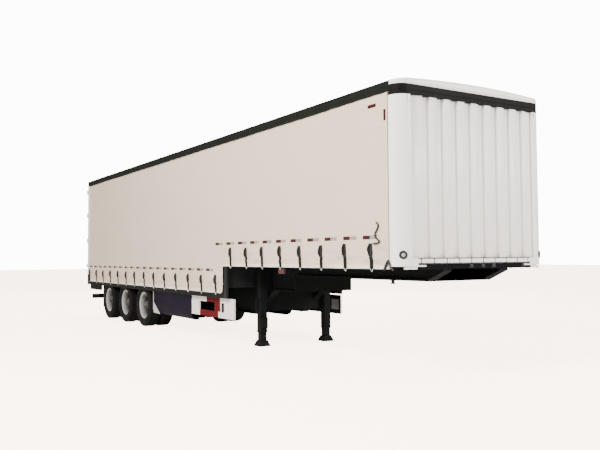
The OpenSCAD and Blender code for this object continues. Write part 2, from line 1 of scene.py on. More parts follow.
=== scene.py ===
import bmesh
import bpy
import numpy as np
from mathutils import Matrix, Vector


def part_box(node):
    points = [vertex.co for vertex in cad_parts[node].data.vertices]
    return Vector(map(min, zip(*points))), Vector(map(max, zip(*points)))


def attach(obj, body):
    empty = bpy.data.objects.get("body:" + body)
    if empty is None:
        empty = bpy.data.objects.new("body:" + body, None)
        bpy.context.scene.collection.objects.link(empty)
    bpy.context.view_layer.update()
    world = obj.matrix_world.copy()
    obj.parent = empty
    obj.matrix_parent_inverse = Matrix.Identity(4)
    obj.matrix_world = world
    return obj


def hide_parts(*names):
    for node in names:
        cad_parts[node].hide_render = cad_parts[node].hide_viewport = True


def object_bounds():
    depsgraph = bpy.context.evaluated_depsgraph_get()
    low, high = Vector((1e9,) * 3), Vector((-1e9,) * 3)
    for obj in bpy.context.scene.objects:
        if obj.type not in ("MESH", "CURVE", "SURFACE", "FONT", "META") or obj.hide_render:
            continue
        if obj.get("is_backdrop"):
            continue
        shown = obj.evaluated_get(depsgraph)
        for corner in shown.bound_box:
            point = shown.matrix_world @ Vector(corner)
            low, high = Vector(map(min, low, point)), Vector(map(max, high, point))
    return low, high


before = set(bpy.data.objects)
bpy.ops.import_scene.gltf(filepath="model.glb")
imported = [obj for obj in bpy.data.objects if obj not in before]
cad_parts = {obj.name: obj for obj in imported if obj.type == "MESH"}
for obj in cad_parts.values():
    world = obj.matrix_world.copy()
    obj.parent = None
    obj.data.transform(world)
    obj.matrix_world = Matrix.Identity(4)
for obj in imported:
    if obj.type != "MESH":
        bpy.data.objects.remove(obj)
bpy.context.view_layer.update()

# ---------------------------------------------------------------- studio
# A plain pale floor, a white surround and soft panel lights. The camera stands at a
# person's height ahead of the trailer's right front corner and looks back along it.

camera_place = np.array([13.371, -6.692, 1.557])
camera_yaw, camera_pitch, camera_roll = np.radians([148.263, 2.555, -0.379])
camera_lens = 42.62

forward = np.array([np.cos(camera_pitch) * np.cos(camera_yaw),
                    np.cos(camera_pitch) * np.sin(camera_yaw), np.sin(camera_pitch)])
level_right = np.cross(forward, [0, 0, 1])
level_right /= np.linalg.norm(level_right)
level_up = np.cross(level_right, forward)
right = np.cos(camera_roll) * level_right + np.sin(camera_roll) * level_up
up = np.cos(camera_roll) * level_up - np.sin(camera_roll) * level_right

camera_data = bpy.data.cameras.new("camera")
camera_data.lens = camera_lens
camera_data.sensor_width = 36
camera_data.clip_end = 500
camera = bpy.data.objects.new("camera", camera_data)
bpy.context.collection.objects.link(camera)
turned = np.eye(4)
turned[:3] = np.column_stack([right, up, -forward, camera_place])
camera.matrix_world = Matrix(turned.tolist())
bpy.context.scene.camera = camera

world = bpy.data.worlds.new("studio")
world.use_nodes = True
bpy.context.scene.world = world
sky = world.node_tree
surround, backdrop = sky.nodes["Background"], sky.nodes.new("ShaderNodeBackground")
seen, ray = sky.nodes.new("ShaderNodeMixShader"), sky.nodes.new("ShaderNodeLightPath")


def feed(tree, node, values):
    """Fills inputs of a node by name or number, with sockets or with plain values."""
    for label, value in values.items():
        if isinstance(value, bpy.types.NodeSocket):
            tree.links.new(value, node.inputs[label])
        else:
            node.inputs[label].default_value = value


feed(sky, surround, {"Color": (1.0, 0.985, 0.97, 1), "Strength": 0.62})
feed(sky, backdrop, {"Color": (1.0, 0.975, 0.955, 1), "Strength": 13.0})
feed(sky, seen, {0: ray.outputs["Is Camera Ray"], 1: surround.outputs[0], 2: backdrop.outputs[0]})
feed(sky, sky.nodes["World Output"], {"Surface": seen.outputs[0]})


def soft_light(name, place, aim, size, power, colour=(1, 1, 1)):
    """A square panel of the given size at place, turned to face aim."""
    lamp = bpy.data.lights.new(name, "AREA")
    lamp.size, lamp.energy, lamp.color = size, power, colour
    panel = bpy.data.objects.new(name, lamp)
    bpy.context.collection.objects.link(panel)
    panel.location = place
    way = np.subtract(aim, place)
    yaw = np.arctan2(way[1], way[0])
    pitch = np.arctan2(way[2], np.hypot(way[0], way[1]))
    panel.rotation_euler = (np.pi / 2 + pitch, 0, yaw - np.pi / 2)


soft_light("key", (8, -14, 11), (0.5, 0, 1.5), 6, 6800, (1, 0.975, 0.94))
soft_light("front", (18, 9, 7), (6.8, 0, 2.4), 3.2, 3300, (1, 0.98, 0.96))
soft_light("back", (-14, 8, 9), (-4, 0, 1.5), 8, 2200)


def new_finish(name):
    """A new material, with its node tree and its Principled shader."""
    material = bpy.data.materials.new(name)
    material.use_nodes = True
    return material, material.node_tree, material.node_tree.nodes["Principled BSDF"]


def maths(tree, operation, a, b=None):
    """A Math node whose inputs are sockets or numbers."""
    node = tree.nodes.new("ShaderNodeMath")
    node.operation = operation
    feed(tree, node, {0: a} if b is None else {0: a, 1: b})
    return node.outputs[0]


floor_reach, floor_glow = 90, 6.2
floor_data = bpy.data.meshes.new("floor")
floor_data.from_pydata([(x * floor_reach, y * floor_reach, 0)
                        for x, y in ((-1, -1), (1, -1), (1, 1), (-1, 1))], [], [(0, 1, 2, 3)])
floor = bpy.data.objects.new("floor", floor_data)
bpy.context.collection.objects.link(floor)
floor_paint, tree, shader = new_finish("studio_floor")
camera_ray = tree.nodes.new("ShaderNodeLightPath").outputs["Is Camera Ray"]
feed(tree, shader, {"Base Color": (0.93, 0.87, 0.82, 1), "Roughness": 0.75,
                    "Emission Color": (1.0, 0.79, 0.655, 1),
                    "Emission Strength": maths(tree, "MULTIPLY", camera_ray, floor_glow)})
floor_data.materials.append(floor_paint)
floor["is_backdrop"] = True

# ---------------------------------------------------------------- chassis
# Two deep welded I-beams of painted steel that step up over the neck, with pressed cross
# members laid across them and angle rails along the edges. The kingpin is machined steel.


def node_group(name, inputs, outputs):
    """An empty shader node group with named inputs and outputs."""
    group = bpy.data.node_groups.new(name, "ShaderNodeTree")
    for label, kind, value in inputs:
        made = group.interface.new_socket(label, in_out="INPUT", socket_type=kind)
        made.default_value = value
    for label, kind in outputs:
        group.interface.new_socket(label, in_out="OUTPUT", socket_type=kind)
    return group, group.nodes.new("NodeGroupInput"), group.nodes.new("NodeGroupOutput")


def noise(tree, where, scale, detail=3.0, rough=0.55):
    """A Noise Texture node read at a place."""
    node = tree.nodes.new("ShaderNodeTexNoise")
    feed(tree, node, {"Vector": where, "Scale": scale, "Detail": detail, "Roughness": rough})
    return node.outputs["Fac"]


def ramp(tree, value, low, high):
    """0 below low, 1 above high and a smooth step between."""
    node = tree.nodes.new("ShaderNodeMapRange")
    node.interpolation_type = "SMOOTHSTEP"
    feed(tree, node, {"Value": value, "From Min": low, "From Max": high})
    return node.outputs["Result"]


def object_point(tree):
    """The Object coordinates of a point, and its X, Y and Z apart."""
    where = tree.nodes.new("ShaderNodeTexCoord").outputs["Object"]
    parts = tree.nodes.new("ShaderNodeSeparateXYZ")
    tree.links.new(where, parts.inputs[0])
    return where, parts.outputs


def stretched(tree, where, scale, lean=0.0):
    """A place scaled along each axis and turned about Y, so that a noise read there runs long."""
    node = tree.nodes.new("ShaderNodeMapping")
    feed(tree, node, {"Vector": where, "Scale": scale, "Rotation": (0, lean, 0)})
    return node.outputs[0]


def build_road_dust():
    """Mask of dried road dust: a blotchy noise that fades out with height above the road,
    plus fine splashes. Streak is the same noise pulled out into vertical runs."""
    group, entry, leave = node_group("road_dust", [
        ("Amount", "NodeSocketFloat", 0.5), ("Top", "NodeSocketFloat", 1.4)],
        [("Mask", "NodeSocketFloat"), ("Streak", "NodeSocketFloat"), ("Blotch", "NodeSocketFloat")])
    where, parts = object_point(group)
    blotch = noise(group, where, 2.3, 5, 0.62)
    splash = ramp(group, noise(group, where, 38, 3, 0.7), 0.52, 0.72)
    height = ramp(group, parts["Z"], entry.outputs["Top"], 0.15)
    streak = noise(group, stretched(group, where, (1, 1, 0.06)), 9, 4, 0.6)
    soft = maths(group, "MULTIPLY", ramp(group, blotch, 0.35, 0.75), height)
    mask = maths(group, "ADD", soft, maths(group, "MULTIPLY", splash,
                                           maths(group, "MULTIPLY", height, 0.35)))
    feed(group, leave, {"Mask": maths(group, "MULTIPLY", mask, entry.outputs["Amount"]),
                        "Streak": ramp(group, streak, 0.4, 0.75), "Blotch": blotch})
    return group


def build_paint_skin():
    """Height of a sprayed coat: very fine orange peel with a slower ripple under it."""
    group, entry, leave = node_group("paint_skin", [("Fineness", "NodeSocketFloat", 260.0)],
                                     [("Height", "NodeSocketFloat")])
    where = group.nodes.new("ShaderNodeTexCoord").outputs["Object"]
    peel = noise(group, where, entry.outputs["Fineness"], 2, 0.5)
    ripple = noise(group, where, 7, 2, 0.5)
    height = maths(group, "ADD", maths(group, "MULTIPLY", peel, 0.35), ripple)
    group.links.new(height, leave.inputs["Height"])
    return group


road_dust = build_road_dust()
paint_skin = build_paint_skin()
dust_colour = (0.36, 0.32, 0.27)


def mixed(tree, factor, a, b):
    """A colour mix; a and b are colours or colour sockets."""
    node = tree.nodes.new("ShaderNodeMix")
    node.data_type = "RGBA"
    a, b = (c if isinstance(c, bpy.types.NodeSocket) else (*c, 1) for c in (a, b))
    feed(tree, node, {"Factor": factor, 6: a, 7: b})
    return node.outputs[2]


def bumped(tree, shader, height, strength, distance=0.001):
    """Feeds a height into the shader's normal."""
    bump = tree.nodes.new("ShaderNodeBump")
    feed(tree, bump, {"Strength": strength, "Distance": distance, "Height": height})
    tree.links.new(bump.outputs[0], shader.inputs["Normal"])


def placed(tree, group, **values):
    """A node group set into a material with its own input values."""
    node = tree.nodes.new("ShaderNodeGroup")
    node.node_tree = group
    feed(tree, node, values)
    return node


def coated(name, colour, worn, rough=0.4, metal=0.0, coat=0.0, dust=0.5, dust_top=1.4,
           fineness=260.0, bump=0.15, glint=0.5):
    """A sprayed or powder-coated finish: the colour drifts towards a worn shade on blotches,
    road dust lies over it low down, and the dust is rougher than the paint."""
    material, tree, shader = new_finish(name)
    dirt = placed(tree, road_dust, Amount=dust, Top=dust_top)
    drift = mixed(tree, maths(tree, "MULTIPLY", dirt.outputs["Streak"], 0.5), colour, worn)
    spread = maths(tree, "MULTIPLY", dirt.outputs["Blotch"], 0.22)
    dry = maths(tree, "MULTIPLY", dirt.outputs["Mask"], 0.45)
    feed(tree, shader, {
        "Base Color": mixed(tree, dirt.outputs["Mask"], drift, dust_colour),
        "Roughness": maths(tree, "ADD", maths(tree, "ADD", spread, dry), rough - 0.1),
        "Metallic": metal, "Coat Weight": coat, "Coat Roughness": 0.12,
        "Specular IOR Level": glint})
    skin = placed(tree, paint_skin, Fineness=fineness)
    bumped(tree, shader, skin.outputs["Height"], bump)
    return material


chassis_paint = coated("chassis_paint", (0.005, 0.006, 0.0062), (0.008, 0.009, 0.0095), 0.68,
                       dust=0.015, glint=0.06)
rail_paint = coated("rail_paint", (0.0065, 0.0075, 0.0062), (0.009, 0.010, 0.009), 0.62,
                    dust=0.01, glint=0.07)
galvanised = coated("galvanised_steel", (0.42, 0.43, 0.44), (0.30, 0.31, 0.32), 0.48, metal=0.85,
                    dust=0.25, fineness=60.0, bump=0.3)
greased_steel = coated("greased_steel", (0.030, 0.028, 0.025), (0.015, 0.014, 0.012), 0.35,
                       metal=0.6, dust=0.0)


def paint_nodes(material, *names):
    """Gives CAD nodes their finish in every material slot."""
    for name in names:
        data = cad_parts[name].data
        if not data.materials:
            data.materials.append(material)
        for i in range(len(data.materials)):
            data.materials[i] = material


paint_nodes(chassis_paint, "main_beams", "cross_members", "coupler_plate", "air_tanks")
paint_nodes(rail_paint, "side_rails")
paint_nodes(greased_steel, "kingpin")

# ---------------------------------------------------------------- floors and riser
# Phenolic-faced birch plywood boards laid across the frame and screwed down, with a
# folded steel riser that closes the step between the two levels.


def build_boards():
    """Plywood seen as boards: a seam every board width along X, and grain as noise that is
    pulled out along X. Seam is 1 on a joint line."""
    group, entry, leave = node_group("floor_boards", [("Board", "NodeSocketFloat", 1.25)],
                                     [("Grain", "NodeSocketFloat"), ("Seam", "NodeSocketFloat")])
    where, parts = object_point(group)
    cell = maths(group, "FRACT", maths(group, "DIVIDE", parts["X"], entry.outputs["Board"]))
    edge = maths(group, "ABSOLUTE", maths(group, "SUBTRACT", cell, 0.5))
    along = stretched(group, where, (0.5, 14, 1))
    feed(group, leave, {"Seam": ramp(group, edge, 0.494, 0.498),
                        "Grain": noise(group, along, 3.5, 6, 0.65)})
    return group


floor_boards = build_boards()
plywood, tree, shader = new_finish("plywood")
boards = placed(tree, floor_boards, Board=1.25)
wood_tone = mixed(tree, boards.outputs["Grain"], (0.10, 0.052, 0.026), (0.24, 0.14, 0.075))
feed(tree, shader, {"Base Color": mixed(tree, boards.outputs["Seam"], wood_tone,
                                        (0.02, 0.014, 0.01)), "Roughness": 0.62})
bumped(tree, shader, boards.outputs["Grain"], 0.25)
riser_paint = coated("riser_paint", (0.012, 0.013, 0.014), (0.02, 0.021, 0.022), 0.6, dust=0.05,
                     glint=0.1)
paint_nodes(plywood, "neck_floor", "deck_floor")
paint_nodes(riser_paint, "step_riser")

# ---------------------------------------------------------------- front wall
# One sheet of painted steel pressed into eight recessed flutes, welded into the frame
# of corner posts, sill and header. Inside it is flat.


def place(name):
    """The lowest and highest corners of a node's box, as two arrays."""
    return [np.array(corner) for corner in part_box(name)]


def grid_cells(rows, columns, wrap=False, loop=False):
    """Quads of a rows by columns grid of points; wrap joins the last column to the first, and
    loop joins the last row to the first."""
    row = np.arange(rows if loop else rows - 1)[:, None]
    column = np.arange(columns if wrap else columns - 1)
    near, far = row * columns, (row + 1) % rows * columns
    beside = (column + 1) % columns
    return np.stack([near + column, near + beside, far + beside, far + column],
                    axis=-1).reshape(-1, 4)


def tube_cells(rows, columns):
    """Faces of a closed tube made of rings: its sides and its two end caps."""
    ring = np.arange(columns)
    return [*grid_cells(rows, columns, wrap=True), ring[::-1], ring + (rows - 1) * columns]


def inset(outline, distance):
    """A closed outline moved inwards: each corner goes along the mitre of its two sides."""
    ahead = np.roll(outline, -1, axis=0) - outline
    ahead /= np.linalg.norm(ahead, axis=1)[:, None]
    normal = np.stack([-ahead[:, 1], ahead[:, 0]], axis=1)
    before = np.roll(normal, 1, axis=0)
    mitre = (normal + before) / (1 + (normal * before).sum(axis=1))[:, None]
    return outline + mitre * distance


def prism(outline, low, high, axis="z", bevel=0.003):
    """A closed outline (counter-clockwise) carried from low to high along an axis, with both
    rims bevelled: the end outlines are the side outline moved inwards by the bevel."""
    outline = np.asarray(outline, float)
    small = inset(outline, bevel)
    rings = [(small, low), (outline, low + bevel), (outline, high - bevel), (small, high)]
    flat = np.array([np.column_stack([ring, np.full(len(ring), at)]) for ring, at in rings])
    order = {"z": [0, 1, 2], "x": [2, 0, 1], "y": [1, 2, 0]}[axis]
    return flat[..., order].reshape(-1, 3), tube_cells(4, len(outline))


def mesh_piece(name, parts, materials, body="root", soft_angle=35, closed=True):
    """One object from many parts. A part is (points, faces) or (points, faces, material number
    or one number a face); the points are stacked and each part's face numbers are moved up by
    the points before it.
    Closed parts have coincident points joined and all faces turned outwards."""
    points, faces, paints, count = [], [], [], 0
    for part in parts:
        cells = [f + count for f in part[1]] if isinstance(part[1], list) else part[1] + count
        faces += [f.tolist() for f in cells]
        paints += np.broadcast_to(part[2] if len(part) > 2 else 0, len(part[1])).tolist()
        points.append(part[0].reshape(-1, 3))
        count += len(points[-1])
    mesh = bpy.data.meshes.new(name)
    mesh.from_pydata(np.concatenate(points), [], faces)
    for material in materials:
        mesh.materials.append(material)
    mesh.polygons.foreach_set("material_index", paints)
    if closed:
        shape = bmesh.new()
        shape.from_mesh(mesh)
        bmesh.ops.remove_doubles(shape, verts=shape.verts, dist=2e-6)
        bmesh.ops.recalc_face_normals(shape, faces=shape.faces)
        shape.to_mesh(mesh)
        shape.free()
    mesh.polygons.foreach_set("use_smooth", [True] * len(mesh.polygons))
    mesh.set_sharp_from_angle(angle=np.radians(soft_angle))
    mesh.update()
    made = bpy.data.objects.new(name, mesh)
    bpy.context.collection.objects.link(made)
    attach(made, body)
    return made


wall_low, wall_high = place("front_wall")
wall_out, wall_in = wall_high[0], wall_low[0]
flute_pitch, flute_mouth, flute_floor, flute_depth, flute_count = 0.237, 0.128, 0.086, 0.034, 8


def soft_step(value):
    """3t^2 - 2t^3 of a value held between 0 and 1."""
    t = np.clip(value, 0, 1)
    return t * t * (3 - 2 * t)


def flute_recess(y):
    """Depth of the pressing at y: full over the flute's floor, 0 outside its mouth and a
    rounded slope between them."""
    from_middle = np.abs((y / flute_pitch) % 1 - 0.5) * flute_pitch
    slope = (flute_mouth / 2 - from_middle) / ((flute_mouth - flute_floor) / 2)
    return flute_depth * soft_step(slope)


def fluted_wall():
    """Closed plan outline of the wall, many points along the fluted face, carried up."""
    middles = (np.arange(flute_count) - (flute_count - 1) / 2) * flute_pitch
    slopes = np.multiply.outer([-1, 1], np.linspace(0.034, 0.065, 10)).reshape(-1)
    y = np.concatenate([np.linspace(wall_low[1], wall_high[1], 3),
                        np.add.outer(middles, slopes).reshape(-1)])
    y = np.clip(np.unique(y), wall_low[1], wall_high[1])
    outside = np.column_stack([wall_out - flute_recess(y), y])
    inside = np.array([[wall_in, wall_high[1]], [wall_in, wall_low[1]]])
    outline = np.concatenate([outside, inside])
    return prism(outline, wall_low[2], wall_high[2], "z", 0.0008)


wall_paint = coated("wall_paint", (0.84, 0.81, 0.775), (0.78, 0.75, 0.71), 0.5, coat=0.05,
                    dust=0.08, dust_top=2.2, glint=0.3)
front_wall = mesh_piece("front_wall_sheet", [fluted_wall()], [wall_paint],
                        soft_angle=50)
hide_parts("front_wall")

# ---------------------------------------------------------------- corner posts and header
# Rolled steel corner posts, smooth outside, with a dark painted header that wraps round
# them and a pale angle along the sill.


def rounded(y0, y1, z0, z1, r, steps=4):
    """A rectangle with quarter-circle corners, counter-clockwise."""
    turn = np.linspace(0, np.pi / 2, steps + 1)
    corners = [(y1 - r, z1 - r, 0), (y0 + r, z1 - r, 1), (y0 + r, z0 + r, 2), (y1 - r, z0 + r, 3)]
    return np.concatenate([np.column_stack([a + r * np.cos(turn + q * np.pi / 2),
                                            b + r * np.sin(turn + q * np.pi / 2)])
                           for a, b, q in corners])


def slab(low, high, bevel=0.003):
    """A box from corner to corner with softened edges."""
    outline = rounded(low[0], high[0], low[1], high[1], bevel, 1)
    return prism(outline, low[2], high[2], "z", bevel)


def mirrored(part):
    """A part's mirror image on the other side, with its faces turned back outwards."""
    return (part[0] * [1, -1, 1], [np.asarray(f)[::-1] for f in part[1]], *part[2:])


def both(part):
    """A part and its mirror image on the other side."""
    return [part, mirrored(part)]


post_low, post_high = place("front_corner_posts")
header_low, header_high = place("front_header")
side_y = post_high[1]
front_face = post_high[0]
corner_r, post_wall = 0.166, 0.040


def nose_path(inward, steps=20):
    """Plan path of the body's front, from the right side round to the left: a straight along
    each side, a quarter circle at each corner and a straight across, moved inwards."""
    turn = np.linspace(0, np.pi / 2, steps)
    r = corner_r - inward
    right_arc = np.column_stack([front_face - corner_r + r * np.sin(turn),
                                 -side_y + corner_r - r * np.cos(turn)])
    across = np.linspace(-1, 1, 26)[1:-1, None] * [0, side_y - corner_r]
    side_end = [[front_face - corner_r - 1e-4, -side_y + inward]]
    right_side = np.concatenate([side_end, right_arc])
    return np.concatenate([right_side, across + [front_face - inward, 0],
                           right_side[::-1] * [1, -1]])


def wrapped(sections):
    """A band round the front: each section point is (distance inwards, height), and the band
    is the closed loop of those points carried along the body's plan path."""
    rings = []
    for inward, height in sections:
        path = nose_path(inward)
        rings.append(np.column_stack([path, np.broadcast_to(height, len(path))]))
    loop = np.swapaxes(rings, 0, 1)
    return loop.reshape(-1, 3), [face[::-1] for face in tube_cells(len(loop), len(sections))]


def post_outline(steps=16):
    """Plan of the left corner post: outer quarter circle, a flange across the front up to the
    wall, a flange along the side, and an inner quarter circle 40 mm further in."""
    turn = np.linspace(0, np.pi / 2, steps)
    arc = np.column_stack([np.cos(turn), np.sin(turn)])
    middle = np.array([front_face - corner_r, side_y - corner_r])
    wall_edge = wall_high[1] + 0.0005
    return np.concatenate([[[front_face, wall_edge]], middle + corner_r * arc,
                           [[post_low[0], side_y], [post_low[0], side_y - post_wall]],
                           middle + (corner_r - post_wall) * arc[::-1],
                           [[front_face - post_wall, wall_edge]]])


post_foot = slab((front_face - 0.009, 0.985, post_low[2]), (front_face, wall_high[1], 1.530))
post = prism(post_outline(), post_low[2], post_high[2], "z", 0.001)
posts = mesh_piece("corner_posts", both(post) + both(post_foot), [wall_paint])
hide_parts("front_corner_posts")

header_paint = coated("header_paint", (0.0062, 0.0055, 0.0056), (0.010, 0.009, 0.009), 0.55,
                      dust=0.0, glint=0.04)
h0, h1 = header_low[2], header_high[2]
header_section = [(0.004, h0), (0, h0 + 0.004), (0, h0 + 0.048), (0.003, h0 + 0.052),
                  (0.003, h0 + 0.056), (0, h0 + 0.060), (0, h1 - 0.005), (0.004, h1 - 0.0005),
                  (0.058, h1 - 0.0005), (0.060, h1 - 0.004), (0.060, h0 + 0.004), (0.056, h0)]
header = mesh_piece("front_header_band", [wrapped(header_section)], [header_paint])
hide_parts("front_header")


def repeated(part, places):
    """The same small part at every one of the places, as one part."""
    points, faces = part[0], part[1]
    places = np.asarray(places, float)
    many = (places[:, None] + points[None]).reshape(-1, 3)
    cells = [np.asarray(f) + i * len(points) for i in range(len(places)) for f in faces]
    return (many, cells, *part[2:])


def painted(parts, paint):
    """The same parts with a material number."""
    return [(*part[:2], paint) for part in parts]


sill_low, sill_high = place("front_sill_rail")
sill_face, shadow_line_low, shadow_line_high = sill_high[0], sill_low[2] + 0.006, sill_high[2] - 0.003
# Painted shadow: the two dark strips along the top and bottom of the sill stand for the shadow gaps
# above and below it; the dark upright ticks run between them.
sill_shadow_lines = [slab((sill_face - 0.001, sill_low[1], z - 0.005),
              (sill_face + 0.003, sill_high[1], z + 0.005), 0.001) for z in (shadow_line_low, shadow_line_high)]
joint = slab((sill_face - 0.001, -0.006, shadow_line_low), (sill_face + 0.002, 0.006, shadow_line_high), 0.001)
joints = repeated(joint, [(0, y, 0) for y in np.linspace(-0.94, 0.94, 10)])
sill = mesh_piece("sill_angle", [slab(sill_low, sill_high, 0.002),
                                 *painted([*sill_shadow_lines, joints], 1)], [wall_paint, header_paint])
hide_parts("front_sill_rail")

# ---------------------------------------------------------------- roof
# A pale laminate sheet bowed over galvanised hoops, turned down at the front into an
# upright lip, and held along each side by a black extruded rail that carries the curtain.

rail_low, rail_high = place("roof_side_rails")
roof_low, roof_high = place("roof_skin")
roof_half = side_y - 0.013
roof_edge = rail_high[2] + 0.004
roof_rise, roof_sag, hoop_pitch, roof_thick = roof_high[2] - roof_edge, 0.004, 1.45, 0.004


def roof_surface(x, y):
    """Height of the sheet: a parabola across, with a shallow sag between the hoops."""
    sag = roof_sag * np.sin(np.pi * (x - rail_high[0]) / hoop_pitch) ** 2
    return roof_edge + (roof_rise - sag) * (1 - (y / roof_half) ** 2)


def roof_reach(y):
    """Front edge of the body's plan at y: the front face, or the corner's quarter circle."""
    past = np.clip(np.abs(y) - (side_y - corner_r), 0, corner_r)
    return front_face - 0.008 - corner_r + np.sqrt(corner_r ** 2 - past ** 2)


def roof_sheet():
    """A grid in x and y over the plan, closed by the same grid 4 mm lower and an edge strip."""
    y = roof_half * np.sin(np.linspace(-np.pi / 2, np.pi / 2, 49))
    share = np.concatenate([np.linspace(0, 0.97, 150), np.linspace(0.97, 1, 20)[1:]])
    back = roof_low[0]
    x = back + share[:, None] * (roof_reach(y) - back)
    y = np.broadcast_to(y, x.shape)
    top = np.stack([x, y, roof_surface(x, y)], axis=-1)
    under = top - [0, 0, roof_thick]
    rows, columns = x.shape
    cells = grid_cells(rows, columns)
    rim = np.concatenate([np.arange(columns), np.arange(1, rows) * columns + columns - 1,
                          (rows - 1) * columns + np.arange(columns - 2, -1, -1),
                          np.arange(rows - 2, 0, -1) * columns])
    strip = np.stack([rim, np.roll(rim, -1), np.roll(rim, -1) + x.size, rim + x.size], axis=-1)
    faces = np.concatenate([cells, cells[:, ::-1] + x.size, strip[:, ::-1]])
    return np.concatenate([top.reshape(-1, 3), under.reshape(-1, 3)]), faces


roof_paint = coated("roof_laminate", (0.80, 0.775, 0.745), (0.70, 0.68, 0.65), 0.42, dust=0.0,
                    bump=0.1)
lip_path = nose_path(0.0)
lip_top = np.where(np.abs(lip_path[:, 1]) < roof_half,
                   roof_surface(lip_path[:, 0], lip_path[:, 1]), roof_edge)
lip_section = [(0.003, header_high[2]), (0, header_high[2] + 0.004), (0, lip_top - 0.014),
               (0.004, lip_top - 0.005), (0.012, lip_top - 0.001), (0.030, lip_top - 0.001),
               (0.030, header_high[2] + 0.004), (0.027, header_high[2])]
roof = mesh_piece("roof_sheet", [roof_sheet(), wrapped(lip_section)], [roof_paint],
                  soft_angle=40)
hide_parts("roof_skin")


def rail_section():
    """Section of the rail in Y and Z: a box with two shallow grooves outside, a drip lip
    above and the curtain track's downward flange below."""
    y0, y1, z0, z1 = side_y - 0.080, side_y, rail_low[2], rail_high[2]
    return [(y0, z0), (y1 - 0.004, z0), (y1, z0 + 0.004), (y1, z0 + 0.030),
            (y1 - 0.004, z0 + 0.034), (y1 - 0.004, z0 + 0.042), (y1, z0 + 0.046),
            (y1, z1 - 0.046), (y1 - 0.003, z1 - 0.042), (y1 - 0.003, z1 - 0.034),
            (y1, z1 - 0.030), (y1, z1 - 0.006), (y1 - 0.006, z1), (y0, z1)]


top_rail = prism(rail_section(), rail_low[0], rail_high[0], "x", 0.001)
top_rails = mesh_piece("roof_rails", both(top_rail), [rail_paint])
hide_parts("roof_side_rails")
paint_nodes(galvanised, "roof_bows", "side_posts", "curtain_poles")
paint_nodes(rail_paint, "rear_header")

# ---------------------------------------------------------------- side curtains
# Coated polyester cloth, about 1 mm thick and warm light grey, hung from rollers in the
# roof rail and strained down with webbing straps, so that it puckers along the hem.

curtain_low, curtain_high = place("curtain_left")
cloth_y = curtain_high[1]
cloth_top = curtain_high[2]
step_edge = place("step_riser")[0][0] - 0.010
neck_hem, deck_hem = 1.400, curtain_low[2]
cloth_rear, cloth_front = curtain_low[0], curtain_high[0]
half_length = 6.85
neck_pitch, deck_pitch = 0.567, 0.633
neck_straps = half_length - (0.60 + neck_pitch * np.arange(8))
deck_straps = half_length - (5.18 + deck_pitch * np.arange(14))


def cloth_stand(x, z):
    """How far the cloth stands in from its outer plane. It is pulled in at each strap and
    bulges between straps, more so near the hem; broad soft folds run up it, and short
    slanting wrinkles run from strap to strap below the marking tape. A tanh keeps the sum
    within 14 mm, so that the cloth stays outside the rails."""
    on_neck = x > step_edge + 1e-6
    pitch = np.where(on_neck, neck_pitch, deck_pitch)
    start = np.where(on_neck, neck_straps[0], deck_straps[0])
    hem = np.where(on_neck, neck_hem, deck_hem)
    phase = 2 * np.pi * (x - start) / pitch
    rise = z - hem
    near_hem = np.exp(-rise / 0.22)
    pucker = 0.0085 * near_hem * np.cos(phase)
    folds = 0.0022 * np.cos(phase * 0.5 + 0.4) * np.exp(-rise / 1.6)
    drift = 0.0030 * (np.sin(1.7 * x + 0.9 * z) * np.sin(0.6 * x + 1.3) + 0.5 * np.sin(2.9 * x))
    slant = np.sin(2 * np.pi * (rise * 9 + 0.35 * np.sin(phase + 0.8 * x)) + 1.7 * x)
    wrinkle = 0.0062 * np.exp(-((rise - 0.15) / 0.12) ** 2) * slant * (0.6 + 0.4 * np.sin(5.1 * x))
    roller = 0.0018 * np.exp(-(cloth_top - z) / 0.10) * np.cos(2 * np.pi * x / 0.31)
    return 0.0030 + 0.0140 * np.tanh((pucker + folds + drift + wrinkle + roller) / 0.012)


def cloth_point(x, z, lift=0.0):
    """A point of the left curtain; lift moves it outwards."""
    return np.stack([x, cloth_y - cloth_stand(x, z) + lift, z], axis=-1)


def hem_edge(z):
    """Front edge of the deck part: straight, with its lower corner rounded on 70 mm."""
    r = 0.070
    left = np.clip(deck_hem + r - z, 0, r)
    return step_edge - (r - np.sqrt(r * r - left * left))


def quads(ids):
    """The four point numbers of every cell in a grid of point numbers."""
    return np.stack([ids[:-1, :-1], ids[:-1, 1:], ids[1:, 1:], ids[1:, :-1]], axis=-1)


def curtain_cloth():
    """Two grids in x and z that share the column at the step: the deck part from the low hem
    and the neck part from the high hem."""
    low_rows = deck_hem + (neck_hem - deck_hem) * np.concatenate(
        [np.linspace(0, 0.18, 6), np.linspace(0.18, 1, 22)[1:]])
    high_rows = neck_hem + (cloth_top - neck_hem) * np.linspace(0, 1, 58) ** 1.45
    rows = np.concatenate([low_rows, high_rows[1:]])
    deck_u = np.linspace(0, 1, 290)
    x = cloth_rear + deck_u[:, None] * (hem_edge(rows) - cloth_rear)
    deck = cloth_point(x, np.broadcast_to(rows, x.shape))
    neck_x = np.linspace(step_edge, cloth_front, 160)[1:, None] + 0 * high_rows
    neck = cloth_point(neck_x, np.broadcast_to(high_rows, neck_x.shape))
    number = np.arange(x.size).reshape(x.shape)
    shared = number[-1:, len(low_rows) - 1:]
    neck_number = np.concatenate([shared, x.size + np.arange(neck_x.size).reshape(neck_x.shape)])
    points = np.concatenate([deck.reshape(-1, 3), neck.reshape(-1, 3)])
    return points, np.concatenate([quads(ids).reshape(-1, 4) for ids in (number, neck_number)])


